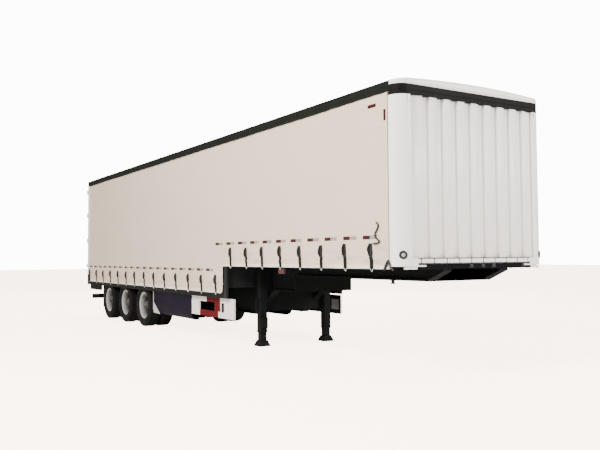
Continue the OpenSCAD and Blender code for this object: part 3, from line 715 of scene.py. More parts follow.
def build_cloth_weave():
    """Height of a coated plain weave under 1 mm threads, and a cloudy soiling mask."""
    group, entry, leave = node_group("coated_weave", [("Threads", "NodeSocketFloat", 900.0)],
                                     [("Height", "NodeSocketFloat"), ("Cloud", "NodeSocketFloat")])
    where, parts = object_point(group)
    warp, weft = (maths(group, "SINE", maths(group, "MULTIPLY", parts[way],
                                             entry.outputs["Threads"])) for way in "XZ")
    feed(group, leave, {"Height": maths(group, "MULTIPLY", warp, weft),
                        "Cloud": noise(group, where, 0.9, 4, 0.55)})
    return group


coated_weave = build_cloth_weave()


def cloth_finish(name, colour, worn, rough, dust):
    """Coated cloth: a slow colour drift, painted shade in grey creases that run along it above
    the hem, dust near the hem and a weave in the bump."""
    material, tree, shader = new_finish(name)
    weave = placed(tree, coated_weave, Threads=900.0)
    dirt = placed(tree, road_dust, Amount=dust, Top=1.5)
    where, parts = object_point(tree)
    hem_z = maths(tree, "MULTIPLY", maths(tree, "GREATER_THAN", parts["X"], step_edge),
                  neck_hem - deck_hem)
    rise = maths(tree, "SUBTRACT", maths(tree, "SUBTRACT", parts["Z"], deck_hem), hem_z)
    # Painted shade: long noise streaks darken the cloth towards grey-brown up to 0.42 m above the
    # hem, standing for the shade in its creases.
    grey = noise(tree, stretched(tree, where, (1.9, 1, 13), 0.05), 1.0, 3, 0.5)
    painted_crease_shade = maths(tree, "MULTIPLY", ramp(tree, grey, 0.50, 0.68), ramp(tree, rise, 0.42, 0.20))
    tone = mixed(tree, weave.outputs["Cloud"], colour, worn)
    tone = mixed(tree, maths(tree, "MULTIPLY", painted_crease_shade, 0.42), tone, (0.30, 0.255, 0.225))
    spread = maths(tree, "MULTIPLY", dirt.outputs["Blotch"], 0.2)
    feed(tree, shader, {
        "Base Color": mixed(tree, dirt.outputs["Mask"], tone, (0.52, 0.47, 0.41)),
        "Roughness": maths(tree, "ADD", spread, rough), "Sheen Weight": 0.08})
    bumped(tree, shader, weave.outputs["Height"], 0.12, 0.0006)
    return material


curtain_cloth_finish = cloth_finish("curtain_cloth", (0.640, 0.525, 0.410), (0.585, 0.475, 0.370),
                                    0.34, 0.12)
hem_finish = cloth_finish("hem_band", (0.76, 0.67, 0.57), (0.70, 0.615, 0.52), 0.36, 0.15)


def hem_band():
    """A welded hem: a strip 45 mm high that follows the cloth's lower edge 2 mm proud."""
    strips, columns = [], 260
    for x0, x1, z0 in ((cloth_rear, step_edge - 0.07, deck_hem),
                       (step_edge + 0.004, cloth_front, neck_hem)):
        z = z0 + np.array([-0.002, 0.0, 0.022, 0.043, 0.045])
        lift = np.array([-0.001, 0.0018, 0.0022, 0.0018, 0.0])
        x, z, lift = np.broadcast_arrays(np.linspace(x0, x1, columns)[:, None], z, lift)
        strips.append((cloth_point(x, z, lift).reshape(-1, 3), grid_cells(columns, len(lift[0]))))
    return strips


# ---------------------------------------------------------------- straps and buckles
# Black polyester webbing about 70 mm wide with an over-centre steel buckle; the loose end
# hangs in a loop beside it, and a bent steel hook at the bottom catches the side rail.


def strap_line(x, z_low, z_high, lean, lift):
    """Centre points of a strap that leans forward towards its foot and follows the cloth."""
    t = np.linspace(0, 1, 12)
    z = z_low + (z_high - z_low) * t
    xs = x + lean * (1 - t)
    return xs, z, cloth_y - cloth_stand(xs, np.maximum(z, z_low + 0.02)) + lift


def ribbon(x, y, z, width, thick):
    """A flat strap: at each station a rectangle, width along X and thick along Y."""
    w, t = width / 2, thick / 2
    section = np.array([(-w, -t), (w, -t), (w, t), (-w, t)])
    rings = np.stack([x[:, None] + section[:, 0], y[:, None] + section[:, 1],
                      np.broadcast_to(z[:, None], (len(x), 4))], axis=-1)
    return rings.reshape(-1, 3), tube_cells(len(x), len(section))


def rod(path, r, sides=8):
    """A round bar along a path: rings of points stand square to the path's own direction."""
    path = np.asarray(path, float)
    ahead = np.gradient(path, axis=0)
    ahead /= np.linalg.norm(ahead, axis=1)[:, None]
    steep = abs(ahead[:, 2]).max() >= 0.9
    guide = np.array([0.2, 0.97, 0.1] if steep else [0.31, 0.17, 0.93])
    across = np.cross(ahead, guide)
    across /= np.linalg.norm(across, axis=1)[:, None]
    other = np.cross(ahead, across)
    turn = np.linspace(0, 2 * np.pi, sides, endpoint=False)[:, None]
    rings = path[:, None] + r * (across[:, None] * np.cos(turn) + other[:, None] * np.sin(turn))
    return rings.reshape(-1, 3), tube_cells(len(path), sides)


strap_width, loop_width, web_thick, strap_high, loop_long = 0.068, 0.046, 0.003, 0.318, 0.165
lever_outline = np.array([(-0.031, -0.075), (-0.022, -0.086), (0.022, -0.086), (0.031, -0.075),
                          (0.031, 0.060), (0.020, 0.070), (-0.020, 0.070), (-0.031, 0.060)])
hook_bend = np.array([(-0.026, 0, 0.036), (-0.014, 0.001, 0.012), (0, -0.002, 0),
                      (0.014, 0.001, 0.012), (0.026, 0, 0.036)])


def strap_parts(x, hem, i):
    """One strap: webbing up to the buckle, the buckle's body and lever, a loop of loose
    webbing that stands off the cloth, and the hook below the hem."""
    lean = 0.016 + 0.010 * np.sin(2.3 * i + 0.4)
    top = hem + strap_high + 0.006 * np.sin(1.9 * i)
    xs, z, y = strap_line(x, hem - 0.012, top, lean, 0.0075)
    parts = [ribbon(xs, y, z, strap_width, web_thick)]
    t = np.linspace(0, 1, 11)
    swing = np.sin(np.pi * t)
    size = 1 + 0.25 * np.sin(3.1 * i + 1)
    loop_z = top - 0.004 - loop_long * t
    loop_y = np.interp(loop_z, z, y) + 0.003 + 0.014 * swing
    loop_x = np.interp(loop_z, z, xs) - 0.026 * swing * size
    parts.append(ribbon(loop_x, loop_y, loop_z, loop_width, web_thick))
    body_x, body_y = np.interp(top - 0.09, z, xs), np.interp(top - 0.09, z, y)
    plate, flat_faces = prism(lever_outline + [body_x, top - 0.085], -0.009, 0.0, "z", 0.002)
    plate = plate[:, [0, 2, 1]] + [0, body_y + 0.011, 0]
    parts.append((plate, [np.asarray(f)[::-1] for f in flat_faces], 1))
    for side in (-1, 1):
        cheek = body_x + side * 0.031
        parts.append((*slab((cheek - 0.0025, body_y, top - 0.150),
                            (cheek + 0.0025, body_y + 0.019, top - 0.030), 0.001), 1))
    pin = np.array([[-0.033, 0, 0], [0, 0, 0], [0.033, 0, 0]])
    for drop in (0.140, 0.035):
        parts.append((*rod(pin + [body_x, body_y + 0.009, top - drop], 0.005), 1))
    parts.append((*rod(hook_bend + [xs[0], y[0], hem - 0.034], 0.005), 2))
    return parts


webbing, tree, shader = new_finish("black_webbing")
web_weave = placed(tree, coated_weave, Threads=2600.0)
web_tone = mixed(tree, web_weave.outputs["Cloud"], (0.006, 0.006, 0.0065),
                 (0.010, 0.0098, 0.0095))
feed(tree, shader, {"Base Color": web_tone, "Roughness": 0.85, "Specular IOR Level": 0.1})
bumped(tree, shader, web_weave.outputs["Height"], 0.5, 0.0005)
buckle_coat = coated("buckle_coat", (0.010, 0.011, 0.011), (0.035, 0.035, 0.035), 0.45,
                     dust=0.02, glint=0.3)
hook_zinc = coated("hook_zinc", (0.62, 0.62, 0.62), (0.5, 0.5, 0.5), 0.3, metal=0.8, dust=0.1)

# ---------------------------------------------------------------- marking tape
# Short strips of reflective film stuck to the cloth along the load line: the rear half of
# each is deep red and the front half white, and an angle of strips marks the top corner.

tape_red = coated("tape_red", (0.034, 0.0045, 0.0065), (0.022, 0.003, 0.0045), 0.45, dust=0.02,
                  glint=0.2)
tape_white = coated("tape_white", (0.27, 0.22, 0.215), (0.22, 0.18, 0.175), 0.4, dust=0.05)


def tape_patch(x0, x1, z0, z1, paint):
    """A thin patch that follows the cloth: a small grid of cloth points lifted 1.5 mm, with a
    skirt that turns back to the cloth."""
    x, z = np.meshgrid([x0, *np.linspace(x0, x1, 8), x1], [z0, *np.linspace(z0, z1, 3), z1],
                       indexing="ij")
    lift = np.full(x.shape, -0.001)
    lift[1:-1, 1:-1] = 0.0016
    return cloth_point(x, z, lift).reshape(-1, 3), grid_cells(*x.shape), paint


neck_tape = half_length - np.array([5.17, 4.72, 4.28, 3.84, 3.41, 2.98, 2.54, 2.08, 1.64, 1.19,
                                    0.76])
deck_tape = half_length - 5.58 - 0.434 * np.arange(19)
neck_tape_z, deck_tape_z, tape_long, tape_high = 1.770, 1.305, 0.30, 0.048


def tape_parts():
    """Every strip on the left curtain: a red patch behind and a white patch before it."""
    parts = []
    for x, z in [(x, neck_tape_z) for x in neck_tape] + [(x, deck_tape_z) for x in deck_tape]:
        middle = x + tape_long / 2
        parts.append(tape_patch(x, middle, z, z + tape_high, 0))
        parts.append(tape_patch(middle, x + tape_long, z, z + tape_high, 1))
    parts.append(tape_patch(half_length - 0.62, half_length - 0.45, 3.42, 3.465, 0))
    parts.append(tape_patch(half_length - 0.305, half_length - 0.26, 3.22, 3.36, 0))
    return parts


def side_of(part, side):
    """A part as it is on the left, or mirrored to the right."""
    return part if side > 0 else mirrored(part)


sides = ((-1, "right"), (1, "left"))
straps_at = [(x, neck_hem) for x in neck_straps] + [(x, deck_hem) for x in deck_straps]
strap_set = [part for i, (x, hem) in enumerate(straps_at) for part in strap_parts(x, hem, i)]
for side, word in sides:
    cloth = mesh_piece("curtain_cloth_" + word, [side_of(curtain_cloth(), side)],
                       [curtain_cloth_finish], soft_angle=180, closed=False)
    thickness = cloth.modifiers.new("coating", "SOLIDIFY")
    thickness.thickness, thickness.offset = 0.0012, -1
    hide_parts("curtain_" + word)
    hem = mesh_piece("curtain_hem_" + word, [side_of(strip, side) for strip in hem_band()],
                     [hem_finish], closed=False)
    straps = mesh_piece("curtain_straps_" + word, [side_of(part, side) for part in strap_set],
                        [webbing, buckle_coat, hook_zinc])
    tape = mesh_piece("marking_tape_" + word, [side_of(part, side) for part in tape_parts()],
                      [tape_red, tape_white], soft_angle=60, closed=False)

# ---------------------------------------------------------------- front fittings
# Black painted front beam with the air and electric couplings, white end brackets, grey-brown
# strips of painted shadow in the gaps at the curtains' front corners, round and red marker
# lamps in rubber seats, and the bent steel hooks that hold a curtain's loose end.

navy_paint = coated("front_beam_paint", (0.0036, 0.0034, 0.0046), (0.006, 0.0056, 0.0075), 0.6,
                    dust=0.004, glint=0.03)
paint_nodes(navy_paint, "front_beam")
black_rubber = coated("black_rubber", (0.012, 0.012, 0.012), (0.02, 0.02, 0.02), 0.7, dust=0.05,
                      fineness=90.0, glint=0.25)
clear_lens = coated("clear_lens", (0.34, 0.34, 0.33), (0.28, 0.28, 0.27), 0.3, coat=0.3, dust=0.05)
red_lens = coated("red_lens", (0.060, 0.004, 0.006), (0.045, 0.003, 0.005), 0.35, coat=0.2,
                  dust=0.05)
amber_lens = coated("amber_lens", (0.55, 0.16, 0.01), (0.45, 0.13, 0.01), 0.22, coat=0.9,
                    dust=0.05)


def spun(profile, steps=48, close=False):
    """A profile of (radius, distance from the centre line) turned about the Y axis. The point
    at angle t is (r cos t, d, r sin t)."""
    profile = np.asarray(profile, float)
    turn = np.linspace(0, 2 * np.pi, steps, endpoint=False)
    r, d = profile[:, 0, None], profile[:, 1, None]
    points = np.stack([r * np.cos(turn), d + 0 * turn, r * np.sin(turn)], axis=-1)
    return points.reshape(-1, 3), grid_cells(len(profile), steps, wrap=True, loop=close)


def turned_flat(part, x, y, z, yaw):
    """A part made about the Y axis, turned so that its +Y end looks along yaw, and moved."""
    across, out, rise = part[0].T
    cos_yaw, sin_yaw = np.cos(yaw), np.sin(yaw)
    return (np.column_stack([x + out * cos_yaw - across * sin_yaw,
                             y + out * sin_yaw + across * cos_yaw, z + rise]), *part[1:])


beam_face = place("front_beam")[1][0]
coupling_places = [(0, y, 0) for y in (-0.10, 0.11, 0.30, 0.86)]
cup = spun([(1e-5, 0.0), (0.013, 0.0), (0.013, 0.010), (0.019, 0.012), (0.019, 0.018),
            (0.012, 0.020), (0.010, 0.026), (1e-5, 0.027)], 24)
cup = turned_flat(cup, beam_face - 0.014, 0, 1.428, 0)
seat = slab((beam_face - 0.001, -0.032, 1.404), (beam_face + 0.002, 0.032, 1.450), 0.0008)
couplings = [repeated(cup, coupling_places), (*repeated(seat, coupling_places), 1)]
mesh_piece("front_couplings", couplings, [buckle_coat, black_rubber])

bracket_places = (((beam_face + 0.001, 0.86, 1.426), (front_face - 0.001, 1.075, 1.446), 0.002),
                  ((front_face - 0.060, 1.00, 1.396), (front_face - 0.002, 1.17, 1.422), 0.003),
                  ((6.44, 1.235, 1.404), (6.660, 1.262, 1.428), 0.002))
mesh_piece("sill_brackets", [part for low, high, bevel in bracket_places
                             for part in both(slab(low, high, bevel))], [wall_paint])

# Painted shadow: a grey-brown strip up each front corner, between the curtain's front edge and the
# corner post, stands for the shadow in the gap there.
gap_shadow_grey = coated("corner_gap_shadow", (0.10, 0.082, 0.075), (0.08, 0.066, 0.06), 0.6, dust=0.02,
                   glint=0.1)
corner_gap_shadow = slab((6.638, 1.250, neck_hem + 0.010), (6.663, 1.273, cloth_top - 0.010), 0.003)
mesh_piece("corner_gap_shadows", both(corner_gap_shadow), [gap_shadow_grey])

lamp_yaw, lamp_out, lamp_z = np.radians(33), corner_r - 0.006, 1.570
lamp_x = front_face - corner_r + lamp_out * np.cos(lamp_yaw)
lamp_y = side_y - corner_r + lamp_out * np.sin(lamp_yaw)
ring = spun([(0.018, -0.002), (0.052, -0.002), (0.052, 0.009), (0.046, 0.016), (0.028, 0.017),
             (0.025, 0.012), (0.018, -0.002)], 40)
lens = spun([(1e-5, 0.0), (0.0262, 0.0), (0.0262, 0.011), (0.021, 0.014), (0.011, 0.0158),
             (1e-5, 0.0164)], 40)
clip = slab((front_face - 0.001, 1.106, 3.425), (front_face + 0.008, 1.130, 3.500), 0.003)
lamp_parts = painted(both(clip), 2)
for side in (-1, 1):
    for paint, part in enumerate((ring, lens)):
        lamp_parts.append((*turned_flat(part, lamp_x, side * lamp_y, lamp_z, side * lamp_yaw),
                           paint))
mesh_piece("front_marker_lamps", lamp_parts, [black_rubber, clear_lens, galvanised])

lamp_base = slab((3.92, 1.232, 1.295), (4.12, 1.240, 1.400), 0.002)
lamp_cover = slab((3.94, 1.240, 1.305), (4.10, 1.256, 1.365), 0.005)
mesh_piece("side_marker_lamps", both(lamp_base) + painted(both(lamp_cover), 1),
           [black_rubber, red_lens])


def bent_bar(points_xz, y, r, steps=9):
    """A bar bent through given points in X and Z at one distance from the middle: a
    Catmull-Rom curve through them gives its centre line."""
    p = np.asarray(points_xz, float)
    p = np.concatenate([[2 * p[0] - p[1]], p, [2 * p[-1] - p[-2]]])
    t = np.linspace(0, 1, steps, endpoint=False)[:, None]
    a, b, c, d = (p[i:len(p) - 3 + i][:, None] for i in range(4))
    curve = 0.5 * (2 * b + (c - a) * t + (2 * a - 5 * b + 4 * c - d) * t ** 2
                   + (3 * b - a - 3 * c + d) * t ** 3)
    flat = np.concatenate([curve.reshape(-1, 2), p[-2:-1]])
    return rod(np.column_stack([flat[:, 0], np.full(len(flat), y), flat[:, 1]]), r)


s_hook = [(6.395, 1.975), (6.425, 1.955), (6.430, 1.915), (6.400, 1.875), (6.372, 1.835),
          (6.380, 1.790), (6.425, 1.762), (6.455, 1.735), (6.405, 1.715), (6.330, 1.712)]
a_loop = [(6.545, 1.385), (6.570, 1.430), (6.610, 1.490), (6.635, 1.505), (6.660, 1.488),
          (6.690, 1.430), (6.720, 1.385)]
tongue = [(6.575, 1.400), (6.632, 1.478), (6.668, 1.400)]
hooks = [part for bend, y, r in ((s_hook, side_y - 0.004, 0.0105), (a_loop, side_y, 0.0115),
                                 (tongue, side_y + 0.002, 0.008))
         for part in both(bent_bar(bend, y, r))]
mesh_piece("curtain_hooks", hooks, [buckle_coat], soft_angle=60)

# ---------------------------------------------------------------- axles and air suspension
# Round axle tubes with drum brakes, trailing arms on hangers, and rubber air springs:
# a rolled bellows clamped to a top plate and a pedestal.

axle_paint = coated("axle_paint", (0.012, 0.013, 0.014), (0.03, 0.026, 0.022), 0.55, dust=0.25,
                    glint=0.2)
paint_nodes(axle_paint, "axles", "suspension_arms")


def upright(profile, x, y, z, steps=48):
    """A profile of (radius, height) turned about an upright line; it starts and ends on the
    line."""
    points, cells = spun(profile, steps)
    return points[:, [0, 2, 1]] + [x, y, z], cells


disc_r = 0.300
axle_xs = [place("wheel_right_%d" % i)[0][0] + disc_r for i in (1, 2, 3)]
spring_low, spring_high = place("air_springs")
spring_h = spring_high[2] - spring_low[2]
spring_y = spring_high[1] - 0.105
turn = np.linspace(-0.5, 0.5, 15) * np.pi
bellows = [(1e-5, 0.0), (0.062, 0.0), (0.062, 0.030), (0.070, 0.046)]
bellows += [(0.084 + 0.020 * np.cos(a), 0.100 + 0.052 * np.sin(a)) for a in turn]
bellows += [(0.092 + 0.012 * np.cos(a), spring_h - 0.040 + 0.034 * np.sin(a)) for a in turn[2:-1]]
bellows += [(0.096, spring_h - 0.008), (0.096, spring_h), (1e-5, spring_h)]
springs = [upright(bellows, x - 0.430, side * spring_y, spring_low[2])
           for x in axle_xs for side in (-1, 1)]
air_springs = mesh_piece("air_bellows", springs, [black_rubber], soft_angle=50)
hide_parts("air_springs")

tank_low, tank_high = place("air_tanks")
tank_r, tank_y, tank_z = 0.120, 0.180, 0.700
hoop = spun([(tank_r + 0.003, 0.016), (tank_r + 0.003, -0.016), (tank_r - 0.002, -0.016),
             (tank_r - 0.002, 0.016)], close=True)
bands = repeated((hoop[0][:, [1, 0, 2]], hoop[1]),
                 [(x, side * tank_y, tank_z) for side in (-1, 1)
                  for x in np.linspace(tank_low[0] + 0.10, tank_high[0] - 0.10, 4)])
mesh_piece("tank_bands", [bands], [galvanised])

# ---------------------------------------------------------------- tyres
# Twin radial trailer tyres: four grooves round the tread with slightly wavy walls, notched
# shoulders, and thin moulded rings on the sidewalls.

tyre_r, tyre_half, groove_deep, notch_deep, wave_size = 0.480, 0.138, 0.013, 0.007, 0.0022
tyre_low, tyre_high = place("tyres_left_1")
outer_tyre_y, inner_tyre_y = tyre_high[1] - tyre_half, tyre_low[1] + tyre_half
disc_y = (outer_tyre_y + inner_tyre_y) / 2


def tyre_profile(fine):
    """Radius, distance across and two weights for one half of the section, from bead to crown.
    The sidewall bulges as a quarter sine up to its widest ring and falls away as a square
    above it; the shoulder is a quarter ellipse and the tread a shallow crown cut by grooves."""
    wall = np.linspace(0.302, 0.385, 7 if fine else 4)
    upper = np.linspace(0.385, 0.456, 6 if fine else 4)[1:]
    rows = [(0.276, 0.093), (0.300, 0.093)]
    rows += [(r, 0.105 + 0.033 * np.sin(np.pi / 2 * (r - 0.302) / 0.083)) for r in wall]
    rows += [(r, 0.138 - 0.016 * ((r - 0.385) / 0.071) ** 2) for r in upper]
    corner = np.linspace(0, np.pi / 2, 6)[1:]
    rows += [(0.456 + 0.0215 * np.sin(a), 0.094 + 0.028 * np.cos(a)) for a in corner]
    r, d = np.array(rows).T
    for ring in (0.330, 0.372, 0.430):
        d = d + 0.0012 * (np.abs(r - ring) < 0.006)
    tread_d = np.add.outer([0.066, 0.028], [0.006, 0.0042, -0.0042, -0.006]).reshape(-1)
    tread_cut = np.array([0, 1, 1, 0] * 2)
    tread_r = tyre_r - 0.0025 * (tread_d / 0.094) ** 2 - groove_deep * tread_cut
    wave = np.repeat([0, 1], [len(d), len(tread_d)])
    r, d = np.concatenate([r, tread_r]), np.concatenate([d, tread_d])
    notch = ((r > 0.459) & (d > 0.08)).astype(float)
    return r, d, notch, wave


def tyre(y_middle, x, z, pitches, fine):
    """Half section mirrored about the crown and turned about the axle. The notch weight takes
    7 mm off the radius on part of each pitch, and the wave weight moves the grooves by a sine."""
    r, d, notch, wave = tyre_profile(fine)
    r, notch, wave = (np.concatenate([v, v[::-1]]) for v in (r, notch, wave))
    d = np.concatenate([d, -d[::-1]])
    share = np.array([0, 0.07, 0.30, 0.37, 0.70] if fine else [0, 0.10, 0.34, 0.44])
    cut = np.array([0, 1, 1, 0, 0] if fine else [0, 1, 1, 0])
    angle = (np.arange(pitches)[:, None] + share).reshape(-1) * 2 * np.pi / pitches
    cut = np.tile(cut, pitches)
    radius = r[:, None] - notch_deep * notch[:, None] * cut
    across = d[:, None] + wave_size * wave[:, None] * np.sin(angle * pitches / 2)
    points = np.stack([x + radius * np.cos(angle), y_middle + across, z + radius * np.sin(angle)],
                      axis=-1)
    return points.reshape(-1, 3), grid_cells(len(r), len(angle), wrap=True, loop=True)


tyre_rubber = coated("tyre_rubber", (0.0058, 0.0066, 0.0062), (0.009, 0.0096, 0.009), 0.75,
                     dust=0.02, dust_top=0.9, fineness=140.0, bump=0.35, glint=0.06)

# ---------------------------------------------------------------- wheels and hubs
# Pressed steel disc wheels in silver-white enamel, bolted back to back with ten studs on a
# cast hub; behind them the cast brake drum, in front the pressed hub cap.

hub_cap_y = place("wheel_left_1")[1][1]
drum_in_y = place("wheel_left_1")[0][1]
stud_ring_r, hole_ring_r, hole_r, stud_count = 0.1675, 0.2140, 0.0260, 10
sector = np.pi / stud_count


def dish(r):
    """How far the outer disc's face stands out from the mounting face at a radius."""
    return np.interp(r, [0.195, 0.215, 0.238, 0.252, 0.262], [0, 0.006, 0.026, 0.050, 0.080])


def disc_shell(side, thick=0.012):
    """The dished disc with its hand holes, as a closed shell. Each sector is a grid between a
    round hole and the sector's own square outline in radius and angle; plain rings join it to
    the hub and the rim."""
    theta = np.linspace(0, 2 * np.pi, 33)[:-1] + np.pi / 4
    square = np.column_stack([np.cos(theta), np.sin(theta)])
    square /= np.abs(square).max(axis=1)[:, None]
    low_r, high_r = 0.186, 0.242
    half_r, mid_r = (high_r - low_r) / 2, (high_r + low_r) / 2
    hole = np.column_stack([(hole_ring_r - mid_r + hole_r * np.cos(theta)) / half_r,
                            hole_r * np.sin(theta) / (hole_ring_r * sector)])
    s = np.array([0, 0.15, 0.5, 1.0])[:, None, None]
    local = (1 - s) * hole + s * square
    radius = mid_r + half_r * local[..., 0]
    offset = sector * local[..., 1]
    edge = np.sort(sector * square[np.abs(square[:, 0] - 1) < 1e-6][:, 1])
    edges = np.add.outer(2 * sector * np.arange(stud_count), edge).reshape(-1)
    edges = np.unique(np.round(edges, 9))[:-1]

    def both_faces(r, angle, hole_edge=False):
        rows, columns = r.shape
        for_back, for_front = dish(r) - thick * 0.5, dish(r) + thick * 0.5
        base = disc_y + side * 0.006
        layers = [np.stack([r * np.cos(angle), base + side * h, r * np.sin(angle)], axis=-1)
                  for h in (for_back, for_front)]
        cells = grid_cells(rows, columns, wrap=True)
        faces = [cells, cells[:, ::-1] + rows * columns]
        if hole_edge:
            ring = np.arange(columns)
            faces.append(np.stack([ring, np.roll(ring, -1), np.roll(ring, -1) + rows * columns,
                                   ring + rows * columns], axis=-1))
        return np.concatenate(layers).reshape(-1, 3), np.concatenate(faces)

    plain = [np.broadcast_arrays(np.array(radii)[:, None], edges)
             for radii in ((0.106, 0.150, low_r), (high_r, 0.252, 0.262))]
    return [*(both_faces(radius, offset + 2 * sector * i, True) for i in range(stud_count)),
            *(both_faces(r, angle) for r, angle in plain)]


def rim_section(side):
    """Closed section of a rim, from its flange nearest the brake to the outer one: rolled
    flanges, tapered seats and a thin well."""
    flat = disc_y + side * (outer_tyre_y - inner_tyre_y) / 2
    turn = np.linspace(0, np.pi, 9)
    lip = [(0.293 + 0.007 * np.sin(a), 0.099 + 0.006 * np.cos(a)) for a in turn]
    half = [*lip, (0.276, 0.093), (0.271, 0.060)]
    top = half + [(r, -d) for r, d in half[::-1]]
    under = [(0.288, -0.105), (0.266, -0.088), (0.262, -0.050), (0.262, 0.050), (0.266, 0.088),
             (0.288, 0.105)]
    return [(r, flat + d) for r, d in top + under]


def hexagon(radius):
    """Six points round the origin, counter-clockwise."""
    a = np.linspace(0, 2 * np.pi, 6, endpoint=False)
    return radius * np.column_stack([np.cos(a), np.sin(a)])


def rolled(points, angle):
    """Points turned about the Y axis: x cos a - z sin a, y, x sin a + z cos a."""
    x, y, z = points.T
    return np.column_stack([x * np.cos(angle) - z * np.sin(angle), y,
                            x * np.sin(angle) + z * np.cos(angle)])


def ring_of(part, count, radius, start=0.0):
    """A part set round the Y axis: moved out to the radius and turned to each of the places."""
    return [(rolled(part[0] + [radius, 0, 0], angle), *part[1:])
            for angle in start + np.arange(count) * 2 * np.pi / count]


def wheel_parts():
    """One side's pair of rims, discs, hub, drum, studs and cap about the axle line."""
    parts = [spun(rim_section(side), 96, close=True) for side in (1, -1)]
    parts += [part for side in (1, -1) for part in disc_shell(side)]
    hub = [(0.050, hub_cap_y - 0.080), (0.092, hub_cap_y - 0.080), (0.098, hub_cap_y - 0.092),
           (0.104, disc_y + 0.050), (0.106, disc_y + 0.024), (0.106, disc_y - 0.020),
           (0.150, disc_y - 0.014), (0.172, disc_y - 0.026), (0.205, disc_y - 0.030),
           (0.210, disc_y - 0.060), (0.208, drum_in_y + 0.012), (0.200, drum_in_y + 0.005),
           (0.190, drum_in_y + 0.005), (0.190, disc_y - 0.050), (0.105, disc_y - 0.050),
           (0.100, drum_in_y), (0.050, drum_in_y)]
    parts.append((*spun(hub, 72, close=True), 1))
    cap = [(1e-5, hub_cap_y), (0.030, hub_cap_y - 0.001), (0.052, hub_cap_y - 0.006),
           (0.062, hub_cap_y - 0.018), (0.066, hub_cap_y - 0.060), (0.084, hub_cap_y - 0.064),
           (0.086, hub_cap_y - 0.079), (0.050, hub_cap_y - 0.081), (1e-5, hub_cap_y - 0.081)]
    parts.append((*spun(cap), 1))
    nut = prism(hexagon(0.0185), disc_y + 0.018, disc_y + 0.042, "y", 0.002)
    collar = spun([(1e-5, disc_y + 0.021), (0.0235, disc_y + 0.020), (0.024, disc_y + 0.012),
                   (1e-5, disc_y + 0.012)], 18)
    stud = spun([(1e-5, disc_y + 0.060), (0.009, disc_y + 0.059), (0.011, disc_y + 0.056),
                 (0.011, disc_y + 0.030), (1e-5, disc_y + 0.030)], 12)
    bolt = prism(hexagon(0.0065), hub_cap_y - 0.066, hub_cap_y - 0.058, "y", 0.001)
    fixings = [copy for part in (nut, collar, stud)
               for copy in ring_of(part, stud_count, stud_ring_r, sector)]
    return parts + painted(fixings + ring_of(bolt, 6, 0.076), 2)


wheel_enamel = coated("wheel_enamel", (0.33, 0.326, 0.32), (0.22, 0.217, 0.212), 0.38, coat=0.1,
                      dust=0.05, dust_top=1.0, bump=0.1, glint=0.3)
tree = wheel_enamel.node_tree
shader = tree.nodes["Principled BSDF"]
# Painted shade: going inboard from 262 mm to 100 mm past the disc line, the enamel is mixed to near
# black, for the shade deep inside the dished wheels.
unshaded_enamel = shader.inputs["Base Color"].links[0].from_socket
across = maths(tree, "ABSOLUTE", object_point(tree)[1]["Y"])
deep = ramp(tree, across, disc_y + 0.262, disc_y + 0.10)
tree.links.new(mixed(tree, deep, unshaded_enamel, (0.026, 0.025, 0.024)), shader.inputs["Base Color"])
cast_iron = coated("cast_iron", (0.030, 0.029, 0.028), (0.07, 0.045, 0.03), 0.6, metal=0.4,
                   dust=0.3, fineness=120.0, bump=0.5)
nut_zinc = coated("nut_zinc", (0.45, 0.44, 0.42), (0.30, 0.28, 0.25), 0.34, metal=0.9, dust=0.2)
one_wheel = wheel_parts()
for side, word in sides:
    for i, x in enumerate(axle_xs, 1):
        body = "wheels_%s_%d" % (word, i)
        angle = 0.35 * i + 0.2 * side
        placed_parts = [side_of((rolled(part[0], angle) + [x, 0, tyre_r], *part[1:]), side)
                        for part in one_wheel]
        wheel = mesh_piece("wheel_pair_%s_%d" % (word, i), placed_parts,
                           [wheel_enamel, cast_iron, nut_zinc], body)
        rubber = [side_of(part, side) for part in (tyre(outer_tyre_y, x, tyre_r, 48, True),
                                                   tyre(inner_tyre_y, x, tyre_r, 40, False))]
        tyres = mesh_piece("tyre_pair_%s_%d" % (word, i), rubber, [tyre_rubber],
                           body, soft_angle=32)
        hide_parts("wheel_%s_%d" % (word, i))
        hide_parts("tyres_%s_%d" % (word, i))

# ---------------------------------------------------------------- landing legs
# Square telescopic legs of painted steel, bolted to the beams, with bolt heads on the
# mounting plates and foot plates.

paint_nodes(chassis_paint, "landing_legs")
leg_x, leg_y, bolt_plate_y, foot_z, collar_half = 2.350, 0.670, 0.505, 0.012, 0.071
head = upright([(1e-5, 0.008), (0.011, 0.008), (0.012, 0.006), (0.012, 0.0), (1e-5, 0.0)],
               0, 0, 0, 6)
foot_bolts = repeated(head, [(leg_x + a, side * leg_y + b, foot_z) for side in (-1, 1)
                             for a in (-0.088, 0.088) for b in (-0.088, 0.088)])
plate_bolts = repeated((head[0][:, [0, 2, 1]], head[1]),
                       [(leg_x + a, bolt_plate_y, z) for a in (-0.085, 0.085)
                        for z in (1.04, 1.14, 1.24, 1.32)])
collar = slab((leg_x - collar_half, leg_y - collar_half, 0.240),
              (leg_x + collar_half, leg_y + collar_half, 0.268))
mesh_piece("leg_fittings", [foot_bolts, *both(plate_bolts), *both(collar)], [chassis_paint])

# ---------------------------------------------------------------- side guards
# Folded steel guards in white enamel with red warning blocks, open in two windows, on two
# hangers. Their inner faces carry black as painted shade, with a grey panel behind the front end.

guard_white = coated("guard_white", (0.76, 0.69, 0.68), (0.66, 0.58, 0.57), 0.36, coat=0.2,
                     dust=0.10, dust_top=1.0)
guard_red = coated("guard_red", (0.082, 0.0012, 0.0033), (0.060, 0.0012, 0.0026), 0.55,
                   dust=0.01, dust_top=1.0, glint=0.08)
guard_low, guard_high = place("side_guards")
gx = guard_low[0] + np.array([0, 0.35, 0.39, 0.70, 1.05, 1.21, 1.29, 1.30, 1.45, 1.85])
gz = np.array([0.460, 0.560, 0.570, 0.730, 0.820])
guard_y, guard_thick = guard_high[1], 0.030


